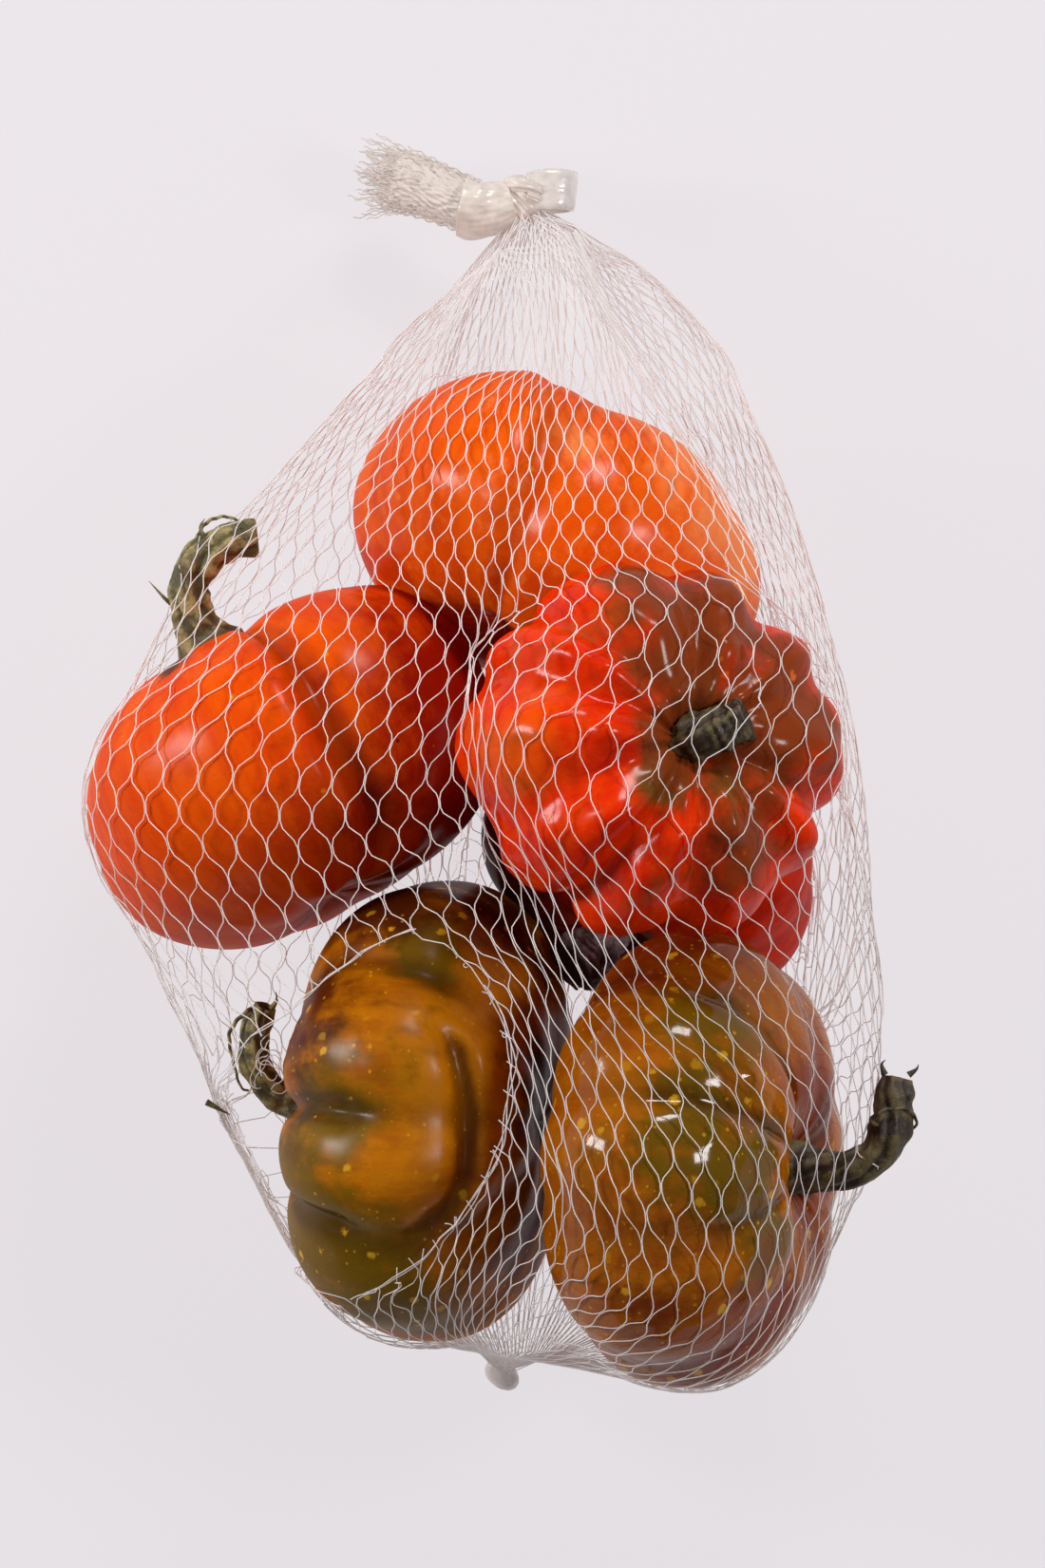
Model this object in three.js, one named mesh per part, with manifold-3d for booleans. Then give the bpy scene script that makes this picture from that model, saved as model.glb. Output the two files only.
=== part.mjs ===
// A knitted net bag of six mini pumpkins, lying on a table with its shown side up.
// Millimetres. +X is the bag's right, +Y runs from the gathered bottom to the knot, +Z is up.
// The net is a closed solid that fills the bag around the pumpkins. They show in its windows,
// where they press on the net, and in the tear over the lower left one.

import * as THREE from 'three';
import { ConvexGeometry } from 'three/addons/geometries/ConvexGeometry.js';
import { mergeVertices } from 'three/addons/utils/BufferGeometryUtils.js';
import Module from 'manifold-3d';

const wasm = await Module();
wasm.setup();

// ---------- Driving dimensions ----------

const DEG = Math.PI / 180;
const CLEAR = 0.5; // gap between a piece and the next
const ROOM = 1.7; // more room round a pumpkin, because its hollow in the net has fewer sides
const STEM_GAP = 0.4; // gap between a stem and its pumpkin
const ROOT_DEPTH = 4; // how far below its dimple a stem's centre line begins
const SQUARENESS = 2.3; // exponent of the pumpkins' flattened profile
const CAVITY_SIDES = 18;
const CAVITY_RINGS = 11;
const PUMPKIN_SIDES = 30;
const PUMPKIN_RINGS = 15;
const RIBBED_SIDES = 42;

// centre: middle of the fruit. axis: from base to stem. front: where azimuth 0 faces.
// equator and pole: radii across and along the axis. dimples: depth at stem and base.
// valleys: [azimuth in degrees, depth, half width in degrees] of each crease between lobes.
const PUMPKINS = {
  top: {
    centre: [13.8, 48.2, 42.6], axis: [-0.53, -0.79, 0.32], front: [0, 0, 1],
    equator: 44.5, pole: 31, dimples: [0.3, 0.12], color: 0xe25a1c,
    valleys: [[18, 0.055, 15], [-52, 0.03, 16], [-112, 0.03, 16], [78, 0.035, 16],
      [132, 0.03, 16], [190, 0.03, 16]],
  },
  left: {
    centre: [-46.4, -1.8, 43.8], axis: [-0.43, 0.89, -0.13], front: [0, 0, 1],
    equator: 45.2, pole: 32, dimples: [0.26, 0.16], color: 0xd94a14,
    valleys: [[21, 0.065, 12], [-26, 0.022, 14], [-68, 0.02, 14], [72, 0.045, 14],
      [122, 0.03, 14], [172, 0.03, 14], [222, 0.03, 14]],
  },
  ribbed: {
    centre: [31.9, 1.6, 100.2], axis: [0.34, 0.14, 0.93], front: [0, -1, 0],
    equator: 39.2, pole: 26, dimples: [0.34, 0.2], color: 0x8a2a12,
    ribs: 11, ribDepth: 0.115, ribWidth: 9.5,
  },
  lower_left: {
    centre: [-14, -74.2, 45.1], axis: [-0.95, 0.04, -0.3], front: [0, 0, 1],
    equator: 48.4, pole: 28.6, dimples: [0.3, 0.14], color: 0x9c6216,
    valleys: [[3, 0.06, 11], [-33, 0.06, 11], [43, 0.045, 12], [86, 0.045, 13],
      [-76, 0.045, 13], [130, 0.04, 13], [180, 0.04, 13], [-125, 0.04, 13]],
  },
  lower_right: {
    centre: [40.7, -82.2, 72.5], axis: [0.94, -0.05, 0.33], front: [0, 0, 1],
    equator: 47.6, pole: 28, dimples: [0.34, 0.14], color: 0x9a6a18,
    valleys: [[-21, 0.045, 11], [19, 0.045, 11], [68, 0.06, 12], [-62, 0.06, 12],
      [-104, 0.05, 12], [112, 0.05, 12], [160, 0.05, 13], [-150, 0.05, 13]],
  },
  behind: {
    centre: [31.8, -20.3, 33.1], axis: [-0.34, -0.78, 0.52], front: [0, 0, 1],
    equator: 36.9, pole: 23.2, dimples: [0.25, 0.12], color: 0xb03214,
    valleys: [[25, 0.05, 12], [-28, 0.05, 12], [-75, 0.05, 12], [76, 0.06, 11],
      [125, 0.05, 12], [178, 0.05, 12], [-128, 0.05, 12]],
  },
};

// Each stem's centre line runs outward from the middle of its pumpkin's dimple, which is where
// its first radius is, through these points.
const STEMS = {
  left: {
    points: [[-62.4, 27, 43.5], [-64.6, 33.5, 45], [-64.4, 39, 47], [-61, 44, 49],
      [-56, 46.9, 50], [-50.6, 47.6, 50]],
    radii: [8.2, 4.8, 3.7, 3.6, 3.7, 3.2, 3.3], color: 0x6a6a4a,
  },
  ribbed: {
    points: [[40.4, 5.4, 118.6], [45, 6.8, 120], [50.2, 9, 121]],
    radii: [6, 5.2, 4.7, 4.4], color: 0x4a4a34,
  },
  lower_left: {
    points: [[-43.4, -71.4, 37], [-48.4, -68.4, 37.6], [-51.4, -62.6, 39], [-51, -56, 41],
      [-49, -51, 42.6]],
    radii: [5.6, 4.4, 3.2, 3, 2.9, 2.2], color: 0x5a5030,
  },
  lower_right: {
    points: [[67.6, -83.6, 82.5], [73.4, -82.8, 84.5], [78.4, -79.6, 85.6], [80.8, -74, 86],
      [81.4, -68.4, 85.6], [82.2, -64.6, 85]],
    radii: [7.6, 5.2, 3.9, 3.4, 3.6, 3.7, 3], color: 0x3f3a26,
  },
  behind: {
    points: [[21.6, -37.6, 45.4], [18.6, -40, 47.4], [15.6, -42.2, 49.6]],
    radii: [4.8, 4.2, 4.8, 6], color: 0x6c5a56,
  },
};
const STEM_RIDGES = 5;

// Thin dry tendrils that curl off three of the stems.
const TENDRILS = {
  left: [[-63.6, 46.2, 47.8], [-61.6, 50.4, 49.2], [-57.8, 52, 50.4], [-54.6, 51.2, 50.8],
    [-52.4, 49.4, 50.6]],
  lower_left: [[-51.6, -51.4, 43.4], [-54, -53, 44], [-56.6, -57, 43], [-55.6, -63.6, 41.4],
    [-54.2, -68.2, 40.4], [-52.6, -68.8, 40]],
  lower_right: [[78.4, -74.6, 89], [76.6, -72.6, 90.8], [79.6, -70.6, 91.2], [84, -70.8, 89.2],
    [86, -73.6, 86.2], [83.6, -76.4, 84], [81.6, -76.6, 83.6]],
};
const TENDRIL_RADIUS = 0.5;

// The net is stretched over the pumpkins, from the neck under the knot to the gathered bottom.
// slack: where the loose right side springs out, clear of the fruit.
const NET = {
  neck: { centre: [8.3, 115.4, 22], width: 7.2, depth: 4.2 },
  gather: { centre: [3.6, -126.4, 17], width: 5.4, depth: 3.4 },
  slack: [[36, 104, 28], [54, 79, 34], [62.5, 58, 42], [69, 33, 50], [77.5, 8, 56], [78.5, -3, 56]],
  sink: 1.2, // how far a pumpkin presses out through the net's skin
};

// The torn opening in the net's upper side, over the lower left pumpkin: middle, size across and
// along, lean in degrees, and the lowest height that it reaches.
const TEAR = { centre: [-19.5, -71], width: 43, length: 75, lean: -11, floor: 52 };

const KNOT = { centre: [5.6, 121.2, 22], radius: 5.3 };
const COLLAR = { from: [2.6, 119.6, 22], to: [-7.2, 118.6, 21.2], radius: 5.6 };
const BAND = { centre: [12.4, 122.4, 22], radius: 3.7, wall: 1.1, width: 6.6 };
const TAIL = { from: [-7.8, 118.5, 21.1], to: [-30, 126.4, 16], rootRadius: 4.6, tipRadius: 6.8 };
const END_SEAL = { centre: [0.8, -130.4, 15], half: [4.4, 3, 3], lean: -40 * DEG };

// ---------- Helpers ----------

const vector = (list) => new THREE.Vector3(...list);
const bump = (x, width) => Math.exp(-((x / width) ** 2));
const wrap = (angle) => Math.atan2(Math.sin(angle), Math.cos(angle));
const axisZ = new THREE.Vector3(0, 0, 1);

/** A geometry with one vertex at each place, so that its surface is closed. */
function weld(geometry) {
  geometry.deleteAttribute('normal');
  geometry.deleteAttribute('uv');
  return mergeVertices(geometry, 1e-5);
}

/** Moves every vertex of a welded geometry to the place that shape(x, y, z) returns. */
function reshape(geometry, shape) {
  const position = geometry.attributes.position;
  for (let i = 0; i < position.count; i += 1) {
    const place = shape(position.getX(i), position.getY(i), position.getZ(i));
    position.setXYZ(i, place.x, place.y, place.z);
  }
  return geometry;
}

function toSolid(geometry) {
  return new wasm.Manifold(new wasm.Mesh({
    numProp: 3,
    vertProperties: new Float32Array(geometry.attributes.position.array),
    triVerts: new Uint32Array(geometry.index.array),
  }));
}

function toGeometry(solid) {
  const mesh = solid.getMesh();
  const geometry = new THREE.BufferGeometry();
  geometry.setAttribute('position', new THREE.BufferAttribute(mesh.vertProperties, 3));
  geometry.setIndex(new THREE.BufferAttribute(mesh.triVerts, 1));
  geometry.computeVertexNormals();
  return geometry;
}

const all = (solids) => solids.reduce((sum, solid) => sum.add(solid));

/** The largest separate piece of a solid. */
function largest(solid) {
  return solid.decompose().reduce((a, b) => (a.volume() > b.volume() ? a : b));
}

/** A slab under the table top, which trims what rests on it to a small flat. */
function underTable() {
  return toSolid(weld(new THREE.BoxGeometry(600, 600, 50).translate(0, 0, -25)));
}

// ---------- Pumpkins ----------

function valleysOf(pumpkin) {
  if (pumpkin.valleys) return pumpkin.valleys;
  return Array.from({ length: pumpkin.ribs }, (unused, i) => {
    const drift = 5 * Math.sin(i * 2.4);
    return [(i * 360) / pumpkin.ribs + drift, pumpkin.ribDepth, pumpkin.ribWidth];
  });
}

/** Radius without creases: a flattened round, dimpled at stem and base. */
function plainRadius(pumpkin, polar) {
  const across = Math.abs(Math.sin(polar) / pumpkin.equator) ** SQUARENESS;
  const along = Math.abs(Math.cos(polar) / pumpkin.pole) ** SQUARENESS;
  const [stem, base] = pumpkin.dimples;
  const dent = stem * bump(polar, 0.42) + base * bump(Math.PI - polar, 0.4);
  return (across + along) ** (-1 / SQUARENESS) * (1 - dent);
}

function pumpkinRadius(pumpkin, polar, azimuth) {
  const reach = Math.sin(polar) ** 0.7;
  const dents = valleysOf(pumpkin).map(([angle, depth, width]) => (
    depth * reach * bump(wrap(azimuth - angle * DEG), width * DEG)
  ));
  return plainRadius(pumpkin, polar) * (1 - dents.reduce((a, b) => a + b));
}

function pumpkinFrame(pumpkin) {
  const axis = vector(pumpkin.axis).normalize();
  const front = vector(pumpkin.front).projectOnPlane(axis).normalize();
  return { centre: vector(pumpkin.centre), axis, front, side: axis.clone().cross(front) };
}

function pumpkinSolid(pumpkin, sides, rings, radius) {
  const { centre, axis, front, side } = pumpkinFrame(pumpkin);
  const sphere = weld(new THREE.SphereGeometry(1, sides, rings));
  return toSolid(reshape(sphere, (x, y, z) => {
    const polar = Math.acos(THREE.MathUtils.clamp(y, -1, 1));
    const length = radius(polar, Math.atan2(-z, x));
    return centre.clone()
      .addScaledVector(axis, y * length)
      .addScaledVector(front, x * length)
      .addScaledVector(side, -z * length);
  }));
}

function wholePumpkin(pumpkin) {
  const sides = pumpkin.ribs ? RIBBED_SIDES : PUMPKIN_SIDES;
  return pumpkinSolid(pumpkin, sides, PUMPKIN_RINGS, (polar, azimuth) => (
    pumpkinRadius(pumpkin, polar, azimuth)
  ));
}

/** The room that the net leaves for a pumpkin. */
function pumpkinRoom(pumpkin) {
  const faceting = 1 / Math.cos(Math.PI / CAVITY_SIDES);
  return pumpkinSolid(pumpkin, CAVITY_SIDES, CAVITY_RINGS, (polar) => (
    plainRadius(pumpkin, polar) * faceting + ROOM
  ));
}

// ---------- Stems ----------

/** A value at t from 0 to 1 along a list of evenly spaced values. */
function along(values, t) {
  const place = t * (values.length - 1);
  const i = Math.min(Math.floor(place), values.length - 2);
  return THREE.MathUtils.lerp(values[i], values[i + 1], place - i);
}

/** A round bar along a curve. section(t, angle) is its radius there. */
function barAlong(curve, sides, steps, section) {
  const frames = curve.computeFrenetFrames(steps);
  const bar = weld(new THREE.CylinderGeometry(1, 1, 1, sides, steps));
  return toSolid(reshape(bar, (x, y, z) => {
    const t = y + 0.5;
    const step = Math.round(t * steps);
    const radius = Math.hypot(x, z) * section(t, Math.atan2(z, x));
    const angle = Math.atan2(z, x);
    return curve.getPointAt(t)
      .addScaledVector(frames.normals[step], radius * Math.cos(angle))
      .addScaledVector(frames.binormals[step], -radius * Math.sin(angle));
  }));
}

function stemSolid(name, grow) {
  const { points, radii } = STEMS[name];
  const { centre, axis } = pumpkinFrame(PUMPKINS[name]);
  const root = centre.addScaledVector(axis, plainRadius(PUMPKINS[name], 0) - ROOT_DEPTH);
  const curve = new THREE.CatmullRomCurve3([root, ...points.map(vector)]);
  return barAlong(curve, 10, 2 * points.length, (t, angle) => {
    const ridge = 1 + 0.12 * Math.cos(STEM_RIDGES * angle);
    return along(radii, t) * ridge + grow;
  });
}

function tendrilSolid(name, grow) {
  const curve = new THREE.CatmullRomCurve3(TENDRILS[name].map(vector));
  return barAlong(curve, 5, 3 * (TENDRILS[name].length - 1), () => TENDRIL_RADIUS + grow);
}

function wholeStem(name) {
  const bars = [stemSolid(name, 0)];
  if (TENDRILS[name]) bars.push(tendrilSolid(name, 0));
  const room = pumpkinSolid(PUMPKINS[name], PUMPKIN_SIDES, PUMPKIN_RINGS, (polar) => (
    plainRadius(PUMPKINS[name], polar) + STEM_GAP
  ));
  return largest(all(bars).subtract(room));
}

// ---------- Net ----------

/** Points around one gathered end of the net. */
function ringPoints({ centre, width, depth }) {
  const middle = vector(centre);
  return new THREE.EllipseCurve(0, 0, width, depth).getPoints(16)
    .map((point) => new THREE.Vector3(point.x, 0, point.y).add(middle));
}

function pointsOf(solid) {
  const { vertProperties } = solid.getMesh();
  const points = [];
  for (let i = 0; i < vertProperties.length; i += 3) {
    points.push(new THREE.Vector3().fromArray(vertProperties, i));
  }
  return points;
}

/** The net's skin, stretched tight over all that it holds. */
function skinSolid() {
  const fruit = Object.values(PUMPKINS).map((pumpkin) => (
    pumpkinSolid(pumpkin, CAVITY_SIDES, CAVITY_RINGS, (polar) => (
      plainRadius({ ...pumpkin, dimples: [0, 0] }, polar) - NET.sink
    ))
  ));
  const stems = Object.keys(STEMS).map((name) => stemSolid(name, -NET.sink));
  const points = [...fruit, ...stems].flatMap(pointsOf);
  points.push(...ringPoints(NET.neck), ...ringPoints(NET.gather), ...NET.slack.map(vector));
  return toSolid(weld(new ConvexGeometry(points)));
}

/** What the tear over the lower left pumpkin leaves open, from above. */
function tearSolid() {
  const { centre: [x, y], width, length, lean, floor } = TEAR;
  const opening = new THREE.CylinderGeometry(1, 1, 100, 20).rotateX(Math.PI / 2)
    .scale(width / 2, length / 2, 1).rotateZ(lean * DEG).translate(x, y, floor + 50);
  return toSolid(weld(opening));
}

function netSolid() {
  const rooms = Object.values(PUMPKINS).map(pumpkinRoom);
  const stemRooms = Object.keys(STEMS).map((name) => stemSolid(name, CLEAR));
  const tendrilRooms = Object.keys(TENDRILS).map((name) => tendrilSolid(name, 2 * CLEAR));
  const ties = [knotSolid(CLEAR), endSealSolid(CLEAR), tearSolid()];
  const cut = all([...rooms, ...stemRooms, ...tendrilRooms, ...ties, underTable()]);
  return largest(skinSolid().subtract(cut));
}

// ---------- Knot, tail and end seal ----------

/** The knot's lump, with the furrows of three fat turns of gathered net. */
function lumpSolid(grow) {
  const centre = vector(KNOT.centre);
  const lump = weld(new THREE.SphereGeometry(1, 16, 11));
  return toSolid(reshape(lump, (x, y, z) => {
    const furrow = 0.09 * Math.cos(3 * Math.acos(THREE.MathUtils.clamp(x, -1, 1)) + 2 * y);
    const radius = KNOT.radius * (1 + furrow) + grow;
    return new THREE.Vector3(x * 0.96, y * 1.08, z).multiplyScalar(radius).add(centre);
  }));
}

/** The smooth wrap between the knot and the tail. */
function collarSolid(grow) {
  const from = vector(COLLAR.from);
  const to = vector(COLLAR.to);
  const end = to.clone().sub(from).setLength(grow).add(to);
  return barAlong(new THREE.LineCurve3(from, end), 14, 4, (t) => (
    COLLAR.radius * (1 - 0.16 * Math.sin(Math.PI * t)) + grow
  ));
}

const knotSolid = (grow) => lumpSolid(grow).add(collarSolid(grow));

/** The flat loop of band beside the knot. */
function bandSolid() {
  const outer = new THREE.Shape().absellipse(0, 0, BAND.radius + 0.6, BAND.radius, 0, 2 * Math.PI);
  const hole = new THREE.Path();
  hole.absellipse(0, 0, BAND.radius + 0.6 - BAND.wall, BAND.radius - BAND.wall, 0, 2 * Math.PI);
  outer.holes.push(hole);
  const settings = { depth: BAND.width, bevelEnabled: false, curveSegments: 12 };
  const band = weld(new THREE.ExtrudeGeometry(outer, settings));
  const [x, y, z] = BAND.centre;
  return toSolid(band).translate([x, y, z - BAND.width / 2]);
}

/** The cut end of the net: a flared, ragged brush of yarn ends. */
function tailSolid() {
  const { rootRadius, tipRadius } = TAIL;
  const curve = new THREE.LineCurve3(vector(TAIL.from), vector(TAIL.to));
  const direction = vector(TAIL.to).sub(vector(TAIL.from)).normalize();
  const brush = weld(new THREE.CylinderGeometry(1, 1, 1, 24, 6));
  const frames = curve.computeFrenetFrames(6);
  return toSolid(reshape(brush, (x, y, z) => {
    const t = y + 0.5;
    const angle = Math.atan2(z, x);
    const fray = 1 + 0.16 * t * Math.cos(6 * angle);
    const radius = Math.hypot(x, z) * THREE.MathUtils.lerp(rootRadius, tipRadius, t) * fray;
    const point = curve.getPointAt(t)
      .addScaledVector(frames.normals[0], radius * Math.cos(angle))
      .addScaledVector(frames.binormals[0], -radius * Math.sin(angle));
    return point.addScaledVector(direction, t * 2.2 * Math.cos(4 * angle) * Math.hypot(x, z));
  }));
}

/** The melted lump that closes the gathered bottom. */
function endSealSolid(grow) {
  const lump = weld(new THREE.SphereGeometry(1, 14, 8));
  const [long, across, thick] = END_SEAL.half;
  const centre = vector(END_SEAL.centre);
  return toSolid(reshape(lump, (x, y, z) => (
    new THREE.Vector3(x * (long + grow), y * (across + grow), z * (thick + grow))
      .applyAxisAngle(axisZ, END_SEAL.lean)
      .add(centre)
  )));
}

// ---------- Assembly ----------

const bag = new THREE.Group();

function add(name, solid, color, roughness) {
  const material = new THREE.MeshStandardMaterial({ color, roughness, metalness: 0 });
  const mesh = new THREE.Mesh(toGeometry(solid), material);
  mesh.name = name;
  bag.add(mesh);
}

Object.entries(PUMPKINS).forEach(([name, pumpkin]) => {
  add(`pumpkin_${name}`, wholePumpkin(pumpkin).subtract(underTable()), pumpkin.color, 0.35);
});
Object.entries(STEMS).forEach(([name, { color }]) => {
  add(`stem_${name}`, wholeStem(name), color, 0.8);
});
add('net', netSolid(), 0xe6dcd2, 0.6);

add('knot', knotSolid(0), 0xece2d6, 0.5);
add('knot_band', largest(bandSolid().subtract(knotSolid(CLEAR))), 0xe8e0d8, 0.3);
add('tail', largest(tailSolid().subtract(knotSolid(CLEAR))), 0xe9e0d6, 0.6);
add('end_seal', endSealSolid(0), 0xd8d4d2, 0.4);

// The middle of the bag's footprint goes to the origin.
const box = new THREE.Box3().setFromObject(bag);
const middle = box.getCenter(new THREE.Vector3());
bag.children.forEach((mesh) => mesh.position.set(-middle.x, -middle.y, -box.min.z));

export default bag;
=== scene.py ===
"""A knitted net bag of mini pumpkins, dressed over its CAD frame.

Lengths in the tables are millimetres in the maker's own layout, whose origin lies near the middle
of the bag. place() puts a point of that layout into the frame, in metres.
"""

import math
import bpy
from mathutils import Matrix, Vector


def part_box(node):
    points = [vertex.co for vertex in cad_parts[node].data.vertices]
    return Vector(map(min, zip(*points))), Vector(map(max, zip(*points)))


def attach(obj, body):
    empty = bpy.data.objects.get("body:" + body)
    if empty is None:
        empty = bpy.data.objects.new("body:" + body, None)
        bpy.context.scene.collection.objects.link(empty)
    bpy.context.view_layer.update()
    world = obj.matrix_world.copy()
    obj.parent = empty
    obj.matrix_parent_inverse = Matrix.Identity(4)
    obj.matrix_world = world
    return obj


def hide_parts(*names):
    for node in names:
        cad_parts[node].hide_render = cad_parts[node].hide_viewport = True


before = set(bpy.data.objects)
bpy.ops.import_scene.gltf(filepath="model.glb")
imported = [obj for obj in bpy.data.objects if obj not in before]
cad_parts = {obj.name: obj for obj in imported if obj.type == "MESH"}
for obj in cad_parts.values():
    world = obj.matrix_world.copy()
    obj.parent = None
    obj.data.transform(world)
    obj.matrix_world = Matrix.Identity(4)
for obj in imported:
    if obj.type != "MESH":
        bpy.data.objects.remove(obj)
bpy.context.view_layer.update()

import bmesh
import bpy
import numpy as np
from bpy.props import FloatProperty, FloatVectorProperty, IntProperty, PointerProperty
from mathutils import Vector
from mathutils.bvhtree import BVHTree

bl_info = {
    "name": "Net of mini pumpkins",
    "version": (1, 0, 0),
    "blender": (4, 5, 0),
    "location": "View3D > Sidebar > Pumpkin net",
    "description": "Pumpkins, stems, knitted net, knot and stage",
    "category": "Add Mesh",
}

# ---------- Layout ----------

MM = 0.001
SEED = 7
END_SEAL = (0.8, -130.4, 15)  # middle of the melted lump, in the maker's layout
_low, _high = (np.array(corner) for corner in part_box("end_seal"))
SHIFT = (_low + _high) / 2 - np.array(END_SEAL) * MM

# The photograph: 1100 x 1651 pixels, 5 pixels to a millimetre at the pumpkins' middle height.
PHOTO_WIDTH, PHOTO_HEIGHT = 1100, 1651
PIXELS_PER_MM = 5.0
MIDDLE_HEIGHT = 45.0
CAMERA_HEIGHT = 1600.0
CAMERA_OVER = (5.2, -4.1)

SQUARENESS = 2.3  # exponent of the pumpkins' flattened profile
FLAT = 1.2  # height below which an underside is pressed flat towards the table

# axis: from base to stem. front: where azimuth 0 faces. equator, pole: radii across and along.
# dimples: depth at stem and base. valleys: (azimuth, depth, half width) of each crease, degrees.
PUMPKINS = {
    "top": dict(
        axis=(-0.53, -0.79, 0.32), front=(0, 0, 1), equator=44.5, pole=31, dimples=(0.3, 0.12),
        valleys=((18, 0.055, 15), (-52, 0.03, 16), (-112, 0.03, 16), (78, 0.035, 16),
                 (132, 0.03, 16), (190, 0.03, 16)),
    ),
    "left": dict(
        axis=(-0.43, 0.89, -0.13), front=(0, 0, 1), equator=45.2, pole=32, dimples=(0.26, 0.16),
        valleys=((21, 0.065, 12), (-26, 0.022, 14), (-68, 0.02, 14), (72, 0.045, 14),
                 (122, 0.03, 14), (172, 0.03, 14), (222, 0.03, 14)),
    ),
    "ribbed": dict(
        axis=(0.34, 0.14, 0.93), front=(0, -1, 0), equator=39.2, pole=26, dimples=(0.34, 0.2),
        valleys=tuple((i * 36 + 7 * math.sin(i * 2.4), 0.1 + 0.03 * math.sin(i * 3.7),
                       9 + 2 * math.sin(i * 1.9)) for i in range(10)),
    ),
    "lower_left": dict(
        axis=(-0.95, 0.04, -0.3), front=(0, 0, 1), equator=48.4, pole=28.6, dimples=(0.3, 0.14),
        valleys=((3, 0.06, 11), (-33, 0.06, 11), (43, 0.045, 12), (86, 0.045, 13),
                 (-76, 0.045, 13), (130, 0.04, 13), (180, 0.04, 13), (-125, 0.04, 13)),
    ),
    "lower_right": dict(
        axis=(0.94, -0.05, 0.33), front=(0, 0, 1), equator=47.6, pole=28, dimples=(0.34, 0.14),
        valleys=((-21, 0.045, 11), (19, 0.045, 11), (68, 0.06, 12), (-62, 0.06, 12),
                 (-104, 0.05, 12), (112, 0.05, 12), (160, 0.05, 13), (-150, 0.05, 13)),
    ),
    "behind": dict(
        axis=(-0.34, -0.78, 0.52), front=(0, 0, 1), equator=36.9, pole=23.2, dimples=(0.25, 0.12),
        valleys=((25, 0.05, 12), (-28, 0.05, 12), (-75, 0.05, 12), (76, 0.06, 11),
                 (125, 0.05, 12), (178, 0.05, 12), (-128, 0.05, 12)),
    ),
}


def unit(vector):
    vector = np.asarray(vector, float)
    return vector / np.linalg.norm(vector, axis=-1, keepdims=True)


def bump(x, width):
    return np.exp(-((x / width) ** 2))


def angle_between(a, b):
    """The signed turn from b to a, within half a turn."""
    return np.arctan2(np.sin(a - b), np.cos(a - b))


def spot_on(directions, middle, width):
    """1 at a spot on a ball, fading over a half width in degrees."""
    away = np.arccos(np.clip(directions @ unit(middle), -1, 1))
    return bump(away, math.radians(width))


def smooth_step(low, high, x):
    t = np.clip((x - low) / (high - low), 0, 1)
    return t * t * (3 - 2 * t)


def place(points):
    """Points of the maker's layout, in the frame's metres."""
    return np.asarray(points, float) * MM + SHIFT


def unplace(points):
    return (np.asarray(points, float) - SHIFT) / MM


# ---------- Mesh helpers ----------


def link(name, mesh, material=None):
    """A smooth-shaded object for a finished mesh."""
    piece = bpy.data.objects.new(name, mesh)
    bpy.context.scene.collection.objects.link(piece)
    mesh.polygons.foreach_set("use_smooth", [True] * len(mesh.polygons))
    if material:
        mesh.materials.append(material)
    return piece


def as_mesh(name, bm):
    mesh = bpy.data.meshes.new(name)
    bm.to_mesh(mesh)
    bm.free()
    return mesh


def move_vertices(mesh, points):
    mesh.vertices.foreach_set("co", np.ascontiguousarray(points, dtype=np.float32).ravel())
    mesh.update()


def paint(mesh, name, values):
    """A number for each vertex, which a material reads by name."""
    layer = mesh.attributes.new(name, "FLOAT", "POINT")
    layer.data.foreach_set("value", np.ascontiguousarray(values, dtype=np.float32))


def paint_vectors(mesh, name, vectors):
    layer = mesh.attributes.new(name, "FLOAT_VECTOR", "POINT")
    layer.data.foreach_set("vector", np.ascontiguousarray(vectors, dtype=np.float32).ravel())


def spread(points, count):
    """A smooth path through a few points, as evenly spaced points."""
    points = np.asarray(points, float)
    ends = np.vstack([2 * points[0] - points[1], points, 2 * points[-1] - points[-2]])
    steps = np.linspace(0, 1, 12, endpoint=False)[:, None]
    parts = []
    for a, b, c, d in zip(ends, ends[1:], ends[2:], ends[3:]):
        parts.append(0.5 * (2 * b + (c - a) * steps + (2 * a - 5 * b + 4 * c - d) * steps**2
                            + (3 * b - a - 3 * c + d) * steps**3))
    path = np.vstack(parts + [points[-1:]])
    lengths = np.concatenate([[0], np.cumsum(np.linalg.norm(np.diff(path, axis=0), axis=1))])
    places = np.linspace(0, lengths[-1], count)
    return np.stack([np.interp(places, lengths, path[:, k]) for k in range(3)], axis=1)


def sides_of(path):
    """Two directions across a path at each of its points, turning as little as they can."""
    tangents = unit(np.gradient(path, axis=0))
    across = np.cross(tangents[0], (0, 0, 1) if abs(tangents[0][2]) < 0.9 else (0, 1, 0))
    first = []
    for tangent in tangents:
        across = unit(across - tangent * np.dot(across, tangent))
        first.append(across)
    first = np.array(first)
    return first, np.cross(tangents, first)


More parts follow.
